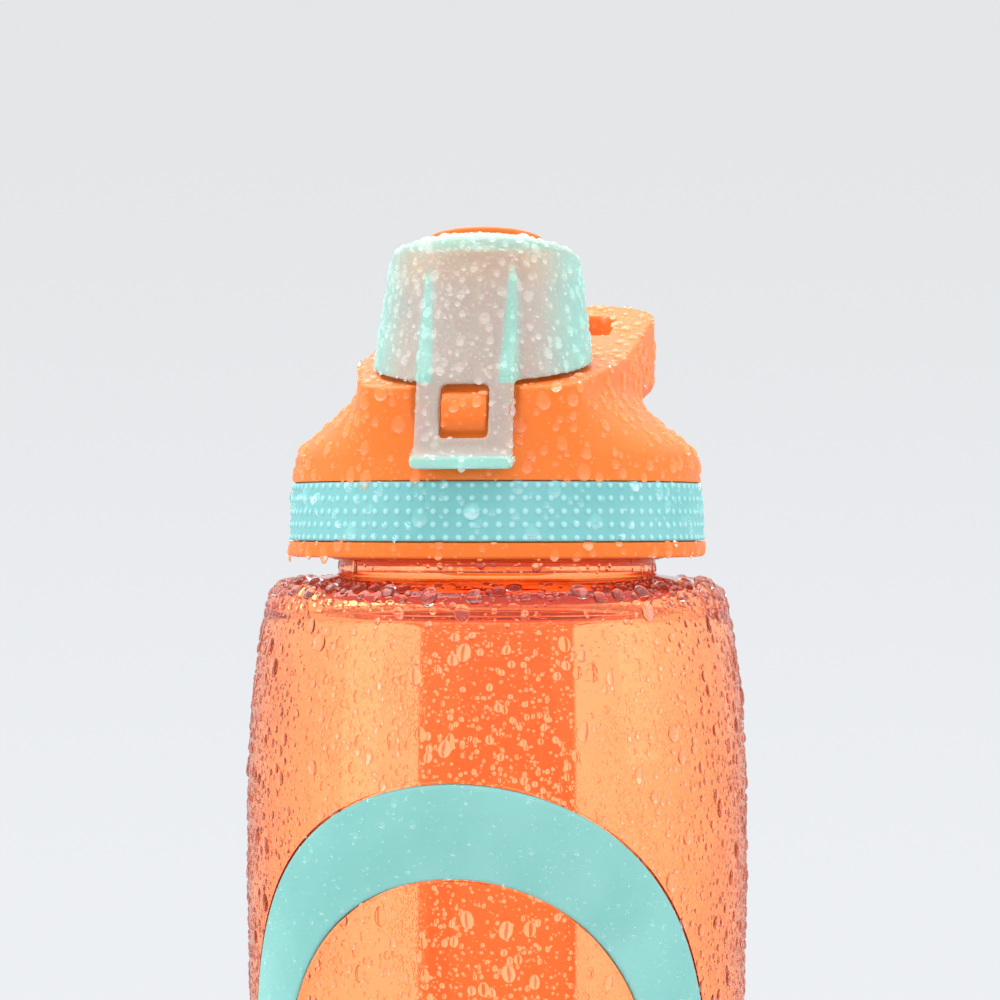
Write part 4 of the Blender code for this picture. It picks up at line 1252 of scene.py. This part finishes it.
@dataclass
class FlipCap:
    """The frosted cap with its hasp, and the plug and seal that it carries."""

    lid: Lid
    radius: float = 17.1 * MM
    tab_height: float = 1.8 * MM
    taper: float = 0.1333
    wall: float = 1.6 * MM
    edge: float = 16.0 * MM
    fillet: float = 2.0 * MM
    crown: float = 20.7 * MM
    disc: float = 9.2 * MM
    stem: float = 7.6 * MM
    rim_gap: float = 0.7 * MM
    foot: float = 175.6 * MM
    hasp_top: float = 14.8 * MM
    hasp_foot: float = 15.4 * MM
    rib_offset: float = 6.5 * MM
    seal_level: float = 13.0 * MM
    seal_radius: float = 9.7 * MM

    def side(self, level: float) -> float:
        """Outer radius at a level of the cap's frame."""
        return self.radius - self.taper * level

    def dome(self, reach: float) -> float:
        """Level of the crown at a radius."""
        shoulder = self.side(self.edge) - self.fillet
        low = self.edge + self.fillet
        return self.crown - (self.crown - low) * (reach / shoulder) ** 2

    def profile(self) -> list[Point]:
        """The cup's outline."""
        edge = self.side(self.edge)
        shoulder = edge - self.fillet
        seat, hole = self.disc + 0.25 * MM, self.stem + 0.3 * MM
        seat_level = self.crown - 1.6 * MM
        outer = [(hole, seat_level), (seat, seat_level)]
        outer += [(seat + (shoulder - seat) * i / 6, self.dome(seat + (shoulder - seat) * i / 6))
                  for i in range(6)]
        outer += [(shoulder + self.fillet * math.sin(a), self.edge + self.fillet * math.cos(a))
                  for a in (math.pi / 2 * i / 10 for i in range(11))]
        low = -22 * MM
        outer += [(self.side(self.edge + (low - self.edge) * i / 20),
                   self.edge + (low - self.edge) * i / 20) for i in range(1, 21)]
        inner = rounded([(self.side(low) - self.wall, low, 0.0),
                         (edge - self.wall, self.edge, 2.5 * MM),
                         (hole, seat_level - self.wall, 0.0)])
        return outer + inner

    def hasp(self) -> bpy.types.Object:
        """The strap that runs down from the front wall to its finger tab."""
        line = self.lid.hasp_line
        head, thick = self.lid.base + 32.8 * MM, self.lid.hasp_thick
        rim = self.lid.top(-30.4 * MM) + self.rim_gap
        tab = self.foot + self.tab_height
        outline = [(line(head, thick * 0.8), head), (line(rim + 1.5 * MM, 0), rim + 1.5 * MM),
                   (line(tab + 1.4 * MM, 0), tab + 1.4 * MM),
                   (line(tab + 0.3 * MM, -0.5 * MM), tab + 0.3 * MM),
                   (line(tab, -1.2 * MM), tab), (line(self.foot, -1.3 * MM), self.foot),
                   (line(self.foot, thick), self.foot), (line(head, thick), head)]
        strap = prism("hasp", outline, -9 * MM, 9 * MM)
        top, foot = self.hasp_top / 2, self.hasp_foot / 2
        front = rounded([(top, head + 1 * MM, 0.0), (top, rim, 0.0),
                         (foot - 0.25 * MM, tab + 1 * MM, 2 * MM),
                         (foot + 0.1 * MM, tab, 0.4 * MM),
                         (foot, self.foot, 0.8 * MM), (-foot, self.foot, 0.8 * MM),
                         (-foot - 0.1 * MM, tab, 0.4 * MM),
                         (-foot + 0.25 * MM, tab + 1 * MM, 2 * MM), (-top, rim, 0.0),
                         (-top, head + 1 * MM, 0.0)], 5)
        combine(strap, prism("hasp_front", front, -45 * MM, -15 * MM, "Y"), "INTERSECT")
        return strap

    def build(self, frosted: bpy.types.Material) -> bpy.types.Object:
        """Make the cap's shell."""
        cap = lathe("cap_frosted", self.profile(), 160, self.lid.spout)
        mend(cap)
        line = [(y * MM, self.lid.top(y * MM) + self.rim_gap)
                for y in (-60, -20, 0, 4, 8, 12, 16, 20, 30, 50)]
        below = line + [(50 * MM, 150 * MM), (-60 * MM, 150 * MM)]
        combine(cap, prism("rim", below, -60 * MM, 60 * MM), "DIFFERENCE")
        combine(cap, self.hasp(), "UNION")
        low, high = self.foot + 4.6 * MM, self.foot + 12.8 * MM
        window = rounded([(-3.75 * MM, low, 0.5 * MM), (3.75 * MM, low, 0.5 * MM),
                          (3.75 * MM, high, 0.9 * MM), (-3.75 * MM, high, 0.9 * MM)], 4)
        combine(cap, prism("window", window, -40 * MM, -21 * MM, "Y"), "DIFFERENCE")
        hinge = self.lid.hinge
        slope = math.tan(self.lid.spout_tilt) + self.taper
        for side in (-1, 1):
            x = side * self.rib_offset
            wall = (self.lid.spout @ Vector((0, -math.sqrt(self.radius ** 2 - x ** 2), 0))).y
            base = self.lid.base + self.lid.spout_level
            low = self.lid.top(-30.4 * MM) + self.rim_gap + 1.0 * MM
            rise = 14.5 * MM
            inside = wall + self.wall
            rib = [(inside + (low - base) * slope - 0.6 * MM, low),
                   (inside + (low - base) * slope + 0.9 * MM, low),
                   (inside + rise * slope + 0.9 * MM, base + rise),
                   (inside + rise * slope - 0.6 * MM, base + rise)]
            combine(cap, prism("rib", rib, x - 0.9 * MM, x + 0.9 * MM), "UNION")
        back = (self.lid.spout @ Vector((0, self.side(8 * MM), 0))).y - 0.2 * MM
        arm = [(back, hinge.z - 1.44 * MM), (hinge.y, hinge.z - 1.44 * MM),
               (hinge.y, hinge.z + 1.44 * MM), (back, hinge.z + 1.44 * MM)]
        combine(cap, prism("arm", arm, -5 * MM, 5 * MM), "UNION")
        combine(cap, bar("barrel", 2.4 * MM, -5 * MM, 5 * MM, hinge), "UNION")
        soften(cap, 0.34 * MM, 3)
        combine(cap, bar("bore", 1.4 * MM, -12 * MM, 12 * MM, hinge), "DIFFERENCE")
        cap.data.materials.clear()
        cap.data.materials.append(frosted)
        shade(cap, 45)
        return hand_in(cap, Body.CAP, ["cap_shell"])

    def plug(self, orange: bpy.types.Material) -> bpy.types.Object:
        """Make the plug with its disc."""
        top, seat = self.crown + 0.2 * MM, self.crown - 1.3 * MM
        seal, bead = self.seal_level, 1.0 * MM
        shoulder = seal + bead + 0.3 * MM
        body = self.seal_radius - bead + 0.6 * MM
        groove = self.seal_radius - bead - 0.3 * MM
        crown = [(self.disc * i / 12, top - 0.55 * MM * (i / 12) ** 2) for i in range(12)]
        crown += [(self.disc - 0.6 * MM + 0.6 * MM * math.sin(a),
                   top - 1.15 * MM + 0.6 * MM * math.cos(a))
                  for a in (math.pi / 2 * i / 6 for i in range(1, 7))]
        profile = crown + rounded([(self.disc, seat, 0.2 * MM), (self.stem, seat, 0.0),
                                   (self.stem, shoulder + 0.7 * MM, 0.0),
                                   (body, shoulder + 0.7 * MM, 0.2 * MM),
                                   (body, shoulder, 0.2 * MM), (groove, shoulder, 0.0),
                                   (groove, seal - bead - 0.3 * MM, 0.0),
                                   (body, seal - bead - 0.3 * MM, 0.2 * MM),
                                   (body - 0.4 * MM, 10.4 * MM, 0.3 * MM),
                                   (0, 10.4 * MM, 0.0)], 4)
        plug = lathe("plug_orange", profile, 128, self.lid.spout, orange)
        mend(plug)
        shade(plug)
        return hand_in(plug, Body.CAP, ["spout_plug"])

    def seal(self, silicone: bpy.types.Material) -> bpy.types.Object:
        """Make the plug's seal."""
        bead = 1.0 * MM
        profile = [(self.seal_radius + bead * math.sin(a), self.seal_level + bead * math.cos(a))
                   for a in (2 * math.pi * i / 20 for i in range(20))]
        seal = lathe("seal_ring", profile, 128, self.lid.spout, silicone)
        mend(seal)
        shade(seal)
        return hand_in(seal, Body.CAP, ["plug_seal"])


def mouth_gasket(barrel: Barrel, silicone: bpy.types.Material) -> bpy.types.Object:
    """Make the washer between the mouth and the liner."""
    low = barrel.neck_top + 0.3 * MM
    outer = barrel.neck_radius + 0.6 * MM
    profile = rounded([(outer - 3.4 * MM, low + 1.8 * MM, 0.3 * MM),
                       (outer, low + 1.8 * MM, 0.3 * MM), (outer, low, 0.3 * MM),
                       (outer - 3.4 * MM, low, 0.3 * MM)], 5)
    gasket = lathe("gasket_soft", profile, 160, material=silicone)
    mend(gasket)
    shade(gasket)
    return hand_in(gasket, Body.SEAL, ["mouth_gasket"])


def hinge_pin(lid: Lid, steel: bpy.types.Material) -> bpy.types.Object:
    """Make the pin with its chamfered ends."""
    half, radius = 9.0 * MM, 1.1 * MM
    turned = Matrix.Translation(lid.hinge) @ Matrix.Rotation(math.pi / 2, 4, "Y")
    profile = [(0, half), (radius - 0.3 * MM, half), (radius, half - 0.3 * MM),
               (radius, -half + 0.3 * MM), (radius - 0.3 * MM, -half), (0, -half)]
    pin = lathe("pin_drawn", profile, 48, turned, steel)
    mend(pin)
    shade(pin)
    return hand_in(pin, Body.LID, ["hinge_pin"])


# ------------------------------------------------------------------ dew

@dataclass(frozen=True)
class DropShape:
    """How finely a drop is modelled."""

    sides: int
    rings: int

    def template(self) -> tuple[np.ndarray, list[tuple[int, ...]]]:
        """Unit dome of radius 1 and height 1 with its base, as points and faces."""
        points = [(0.0, 0.0, 1.0)]
        for ring in range(1, self.rings + 1):
            share = ring / self.rings
            for side in range(self.sides):
                angle = 2 * math.pi * side / self.sides
                reach = math.sin(math.pi / 2 * share)
                points.append((reach * math.cos(angle), reach * math.sin(angle),
                               math.cos(math.pi / 2 * share)))
        points.append((0.0, 0.0, 0.0))
        faces: list[tuple[int, ...]] = []
        last = len(points) - 1
        for side in range(self.sides):
            following = (side + 1) % self.sides
            faces.append((0, 1 + side, 1 + following))
            for ring in range(self.rings - 1):
                a, b = 1 + ring * self.sides, 1 + (ring + 1) * self.sides
                faces.append((a + side, b + side, b + following, a + following))
            rim = 1 + (self.rings - 1) * self.sides
            faces.append((last, rim + following, rim + side))
        return np.array(points), faces


@dataclass
class Dew:
    """Scatters drops of water over a surface."""

    obstacles: BVHTree
    taken: dict = field(default_factory=dict)
    cell: float = 2.5 * MM

    def free(self, place: np.ndarray, radius: float) -> bool:
        """Whether a drop fits beside those already there; if so it is kept."""
        key = tuple(np.floor(place / self.cell).astype(int))
        for dx in (-1, 0, 1):
            for dy in (-1, 0, 1):
                for dz in (-1, 0, 1):
                    for other, size in self.taken.get(
                            (key[0] + dx, key[1] + dy, key[2] + dz), ()):
                        if np.sum((other - place) ** 2) < (0.92 * (size + radius)) ** 2:
                            return False
        self.taken.setdefault(key, []).append((place, radius))
        return True

    def scatter(self, name: str, surface: bpy.types.Object, body: Body, slot: Slot,
                count: int, small: float, large: float, power: float, seed: int,
                shape: DropShape, wanted: Callable[[np.ndarray, np.ndarray], np.ndarray],
                water: bpy.types.Material, height: float = 0.62) -> bpy.types.Object:
        """Lay drops on a surface.

        Args:
            name: the new piece's name.
            surface: the piece that is wet.
            body: the body that it rides on.
            slot: the record's finish of the wet piece; not used.
            count: how many places are tried.
            small: least radius.
            large: greatest radius.
            power: how quickly large drops become rare.
            seed: start of the random draws.
            shape: how finely each drop is made.
            wanted: likelihood of a drop for places and normals.
            water: the drops' finish.
            height: dome height as a share of the radius.

        Returns:
            The drops as one object.
        """
        random = np.random.default_rng(seed)
        mesh = surface.data
        mesh.calc_loop_triangles()
        places = np.empty(len(mesh.vertices) * 3)
        mesh.vertices.foreach_get("co", places)
        places = places.reshape(-1, 3)
        corners = np.empty(len(mesh.loop_triangles) * 3, dtype=np.int64)
        mesh.loop_triangles.foreach_get("vertices", corners)
        triangles = places[corners.reshape(-1, 3)]
        cross = np.cross(triangles[:, 1] - triangles[:, 0], triangles[:, 2] - triangles[:, 0])
        area = np.linalg.norm(cross, axis=1)
        chosen = random.choice(len(area), size=count, p=area / area.sum())
        a, b = random.random(count), random.random(count)
        fold = a + b > 1
        a[fold], b[fold] = 1 - a[fold], 1 - b[fold]
        spots = triangles[chosen, 0] + a[:, None] * (triangles[chosen, 1] - triangles[chosen, 0])
        spots += b[:, None] * (triangles[chosen, 2] - triangles[chosen, 0])
        facing = cross[chosen] / np.maximum(area[chosen], 1e-15)[:, None]
        draw = random.random(count)
        sizes = small * (1 - draw * (1 - (small / large) ** power)) ** (-1 / power)
        luck = random.random(count)
        turn = random.random(count) * 2 * math.pi
        likely = np.flatnonzero(luck < wanted(spots, facing))
        kept = []
        for i in likely[np.argsort(-sizes[likely])]:
            lifted = Vector(spots[i] + facing[i] * 0.05 * MM)
            if self.obstacles.ray_cast(lifted, Vector(facing[i]), 12 * MM)[0] is not None:
                continue
            if self.free(spots[i], sizes[i]):
                kept.append(i)
        spots, facing, sizes, turn = spots[kept], facing[kept], sizes[kept], turn[kept]
        points, faces = shape.template()
        down = np.array((0.0, 0.0, -1.0)) + facing * facing[:, 2:]
        slide = np.linalg.norm(down, axis=1)
        level = slide < 0.05
        down[level] = (1.0, 0.0, 0.0)
        down -= facing * np.sum(down * facing, axis=1)[:, None]
        down /= np.linalg.norm(down, axis=1)[:, None]
        across = np.cross(facing, down)
        sag = (np.minimum(1.0, sizes / (1.0 * MM)) * np.where(level, 0, slide))[:, None]
        bearing = np.arctan2(points[:, 1], points[:, 0])[None, :]
        wave = 1 + 0.07 * np.cos(2 * bearing + turn[:, None])
        along = points[None, :, 0] * wave * (1 + 0.3 * sag) + points[None, :, 2] * 0.25 * sag
        along -= 0.12 * sag * np.abs(points[None, :, 1])
        sideways = points[None, :, 1] * wave * (1 + 0.12 * sag * points[None, :, 0])
        rise = height * (1 - 0.15 * sag) * points[None, :, 2] - 0.05
        local = along[..., None] * down[:, None] + sideways[..., None] * across[:, None]
        local = (local + rise[..., None] * facing[:, None]) * sizes[:, None, None]
        verts = spots[:, None] + local - (0.01 * MM * facing)[:, None]
        starts = np.arange(len(kept)) * len(points)
        found = [tuple(start + corner for corner in face) for start in starts.tolist()
                 for face in faces]
        item = new_object(name, verts.reshape(-1, 3).tolist(), found, water)
        fall = item.data.attributes.new("fall", "FLOAT", "POINT")
        fall.data.foreach_set("value", np.tile(points[:, 0] * 0.5 + 0.5, len(kept)))
        item.data.shade_smooth()
        item.data.set_sharp_from_angle(angle=math.radians(50))
        item.visible_shadow = False
        LOG.info("%s: %d drops", name, len(kept))
        return hand_in(item, body)


# ------------------------------------------------------------------ studio

@dataclass
class Studio:
    """Camera, light, backdrop and floor."""

    azimuth: float = math.radians(9.0)
    distance: float = 436 * MM
    eye: float = 168 * MM
    lens: float = 97.3
    shift: tuple[float, float] = (0.003, 0.02)
    strip_half: float = math.radians(2.65)
    strip: Colour = (1.25, 0.34, 0.03)

    def camera(self) -> None:
        """Set the camera level with the lid's lower edge."""
        data = bpy.data.cameras.new("camera")
        data.lens = self.lens
        data.shift_x, data.shift_y = self.shift
        data.clip_start = 0.01
        item = bpy.data.objects.new("camera", data)
        bpy.context.scene.collection.objects.link(item)
        item.location = (self.distance * math.sin(self.azimuth),
                         -self.distance * math.cos(self.azimuth), self.eye)
        item.rotation_euler = (math.pi / 2, 0, self.azimuth)
        bpy.context.scene.camera = item

    def world(self) -> None:
        """A pale surround, with a narrow warm strip behind that only the clear walls show."""
        graph = Graph("surround", world=True)
        where = graph.node("ShaderNodeTexCoord")
        split = graph.node("ShaderNodeSeparateXYZ", None, {0: where.outputs["Generated"]})
        x, y, z = (Wire(graph, socket) for socket in split.outputs)
        rise = z.ease(-0.18, 0.18)
        backdrop = graph.mix(rise, (0.85, 0.87, 0.895), (0.775, 0.79, 0.805))
        sun = Vector((math.sin(self.azimuth), -math.cos(self.azimuth)))
        ahead = x * -sun.x + y * -sun.y
        aside = abs(x * -sun.y + y * sun.x)
        inside = 1.0 - aside.ease(math.sin(self.strip_half * 0.97),
                                  math.sin(self.strip_half * 1.03))
        strip = inside * ahead.ease(0.9, 0.95) * (1.0 - abs(z).ease(0.3, 0.5))
        surround = graph.mix(strip, (1.25, 1.25, 1.25), self.strip)
        seen = graph.node("ShaderNodeLightPath")
        camera_ray = Wire(graph, seen.outputs["Is Camera Ray"])
        through = Wire(graph, seen.outputs["Is Transmission Ray"])
        studio = graph.mix(z.ease(-0.4, 0.9), (0.55, 0.55, 0.56), (1.25, 1.26, 1.28))
        lit = graph.mix(through, studio, surround)
        colour = graph.mix(camera_ray, lit, backdrop)
        shader = graph.node("ShaderNodeBackground", None, {"Color": colour, "Strength": 1.0})
        bpy.context.scene.world = graph.finish(shader.outputs[0])

    def lamp(self, name: str, place: Point, target: Point, size: tuple[float, float],
             power: float, mirrored: bool = True) -> None:
        """Add a soft rectangular lamp.

        Args:
            name: its name.
            place: where it stands.
            target: what it points at.
            size: width and height.
            power: watts.
            mirrored: whether glossy surfaces show it.
        """
        data = bpy.data.lights.new(name, "AREA")
        data.shape = "RECTANGLE"
        data.size, data.size_y = size
        data.energy = power
        item = bpy.data.objects.new(name, data)
        item.visible_glossy = mirrored
        bpy.context.scene.collection.objects.link(item)
        item.location = place
        aim = Vector(target) - Vector(place)
        item.rotation_euler = aim.to_track_quat("-Z", "Y").to_euler()

    def floor(self) -> None:
        """A pale round floor that fades out before it ends."""
        radius, steps = 0.42, 96
        verts = [(0.0, 0.0, -0.3 * MM)]
        verts += [(radius * math.cos(2 * math.pi * i / steps),
                   radius * math.sin(2 * math.pi * i / steps), -0.3 * MM)
                  for i in range(steps)]
        faces = [(0, 1 + i, 1 + (i + 1) % steps) for i in range(steps)]
        graph = Graph("pale_floor")
        x, y, z = graph.place()
        away = (x * x + y * y) ** 0.5
        base = graph.mix(graph.noise(30.0, 3.0) * 0.3, (0.80, 0.81, 0.82), (0.76, 0.77, 0.78))
        shader = graph.principled(Base_Color=base, Roughness=0.75,
                                  Alpha=1.0 - away.ease(0.18, 0.41))
        item = new_object("floor", verts, faces, graph.finish(shader))
        item.visible_transmission = False

    def build(self) -> None:
        """Set everything up."""
        self.camera()
        self.world()
        self.floor()
        self.lamp("top_soft", (-0.15, 0.15, 0.75), (0, 0, 0.18), (0.6, 0.6), 3.2)
        self.lamp("left_soft", (-0.55, -0.35, 0.35), (0, 0, 0.17), (0.25, 0.6), 1.5, False)
        self.lamp("right_soft", (0.6, -0.1, 0.4), (0, 0, 0.17), (0.25, 0.6), 1.5, False)
        scene = bpy.context.scene
        scene.view_settings.view_transform = "Standard"
        scene.cycles.max_bounces = 24
        scene.cycles.transmission_bounces = 20
        scene.cycles.transparent_max_bounces = 24


# ------------------------------------------------------------------ the whole bottle

def obstacle_tree(items: Sequence[bpy.types.Object]) -> BVHTree:
    """One search tree over several pieces, to keep drops off hidden surfaces."""
    places: list[Vector] = []
    faces: list[tuple[int, ...]] = []
    for item in items:
        start = len(places)
        places += [vertex.co.copy() for vertex in item.data.vertices]
        faces += [tuple(start + v for v in polygon.vertices) for polygon in item.data.polygons]
    return BVHTree.FromPolygons(places, faces)


def main() -> None:
    """Build every piece in order and report it."""
    logging.basicConfig(level=logging.INFO, format="%(message)s")
    Studio().build()
    barrel = Barrel()
    ring = GripRing(barrel)
    lid = Lid()
    dotted = DottedBand(lid)
    cap = FlipCap(lid)

    clear = ClearPlastic("clear_orange", (1.0, 0.86, 0.70), outer=37.6 * MM).material()
    orange = SatinPlastic("satin_orange", (0.96, 0.19, 0.014), (0.97, 0.24, 0.035)).material()
    ring_mint = SoftRubber("ring_mint", (0.21, 0.53, 0.49), (0.31, 0.66, 0.61)).material()
    band_mint = DottedRubber("band_mint", (0.19, 0.53, 0.53), (0.40, 0.76, 0.78),
                             lid.band_low, lid.band_high, lid.radius,
                             dotted.draft).material()
    # the first colour is the front's milky tone with painted light from the orange spout behind
    # it
    frosted = FrostedPlastic("frosted_mint", (0.80, 0.68, 0.62), (0.34, 0.84, 0.75),
                             cap.rib_offset, rim=188.7 * MM, head=208 * MM,
                             front=-25.0 * MM, tab_top=cap.foot + cap.tab_height).material()
    silicone = Silicone().material()
    steel = DrawnSteel().material()
    water = Water("water_clear").material()
    # the second and third values are the share and colour of the painted light in each drop's
    # lower part
    on_orange = Water("water_on_orange", 0.45, (1.0, 0.50, 0.22)).material()
    on_mint = Water("water_on_mint", 0.5, (0.62, 0.86, 0.88)).material()
    on_frost = Water("water_on_frost", 0.24, (0.80, 0.82, 0.78)).material()

    body = barrel.build(ring.groove(), clear)
    grip = ring.build(ring_mint)
    shell = lid.build(orange)
    band = dotted.build(band_mint)
    liner = Liner(lid, barrel).build(orange)
    gasket = mouth_gasket(barrel, silicone)
    cup = cap.build(frosted)
    plug = cap.plug(orange)
    cap.seal(silicone)
    hinge_pin(lid, steel)

    dew = Dew(obstacle_tree([body, grip, shell, band, liner, gasket, cup, plug]))
    fine, middle, big = DropShape(5, 1), DropShape(8, 2), DropShape(16, 5)

    def on_barrel(place: np.ndarray, normal: np.ndarray) -> np.ndarray:
        """Likelihood on the barrel: only its outside, and more at its flanks."""
        out = np.hypot(place[:, 0], place[:, 1])
        outward = np.sum(place[:, :2] * normal[:, :2], axis=1) / np.maximum(out, 1e-6)
        outside = (out > barrel.neck_radius - 0.5 * MM) & (place[:, 2] > 6 * MM) \
            & (outward > -0.1) & (normal[:, 2] > -0.3)
        flank = np.clip((np.abs(place[:, 0]) / barrel.waist_radius - 0.45) / 0.4, 0, 1)
        return outside * (0.5 + 0.5 * flank ** 1.5)

    def on_shoulder(place: np.ndarray, normal: np.ndarray) -> np.ndarray:
        """Likelihood on the shoulder, where drops gather."""
        out = np.hypot(place[:, 0], place[:, 1])
        return ((place[:, 2] > barrel.height - 2.2 * MM) & (normal[:, 2] > 0.25)
                & (out > barrel.neck_radius + 2 * MM)).astype(float)

    def anywhere(place: np.ndarray, normal: np.ndarray) -> np.ndarray:
        """Even likelihood except underneath."""
        return (normal[:, 2] > -0.5).astype(float)

    def on_ring(place: np.ndarray, normal: np.ndarray) -> np.ndarray:
        """Likelihood on the ring's outer face."""
        out = np.hypot(place[:, 0], place[:, 1])
        return (out > barrel.waist_radius + 0.2 * MM).astype(float)

    bottle = (body, Body.BOTTLE, Slot.CLEAR)
    dew.scatter("dew_shoulder", *bottle, 60000, 0.35 * MM, 1.4 * MM, 1.5, 10, big,
                on_shoulder, water, 0.75)
    dew.scatter("dew_body_large", *bottle, 4200, 0.5 * MM, 1.3 * MM, 2.4, 11, big,
                on_barrel, water, 0.55)
    for side, seed in (("left", 12), ("right", 22)):
        sign = -1 if side == "left" else 1
        dew.scatter(f"dew_body_{side}", *bottle, 52000, 0.22 * MM, 0.6 * MM, 2.2, seed, middle,
                    lambda place, normal, sign=sign: on_barrel(place, normal)
                    * (place[:, 0] * sign > 0), water)
    dew.scatter("dew_body_fine", *bottle, 60000, 0.10 * MM, 0.24 * MM, 1.5, 13, fine,
                on_barrel, water)
    dew.scatter("dew_ring", grip, Body.BOTTLE, Slot.MINT, 3000, 0.15 * MM, 0.7 * MM, 2.2, 14,
                middle, on_ring, on_mint, 0.4)
    orange_lid = (shell, Body.LID, Slot.SATIN)
    dew.scatter("dew_lid_large", *orange_lid, 2600, 0.5 * MM, 1.2 * MM, 2.0, 15, big,
                anywhere, on_orange)
    dew.scatter("dew_lid_fine", *orange_lid, 10000, 0.14 * MM, 0.45 * MM, 1.8, 19, middle,
                anywhere, on_orange)
    dew.scatter("dew_band", band, Body.LID, Slot.MINT, 500, 0.4 * MM, 1.3 * MM, 1.6, 16, big,
                anywhere, on_mint, 0.45)
    cap_shell = (cup, Body.CAP, Slot.FROSTED)
    dew.scatter("dew_cap_large", *cap_shell, 1500, 0.35 * MM, 0.85 * MM, 2.0, 17, big,
                anywhere, on_frost)
    dew.scatter("dew_cap_fine", *cap_shell, 14000, 0.10 * MM, 0.3 * MM, 1.4, 18, fine,
                anywhere, on_frost)


if __name__ == "__main__":
    main()
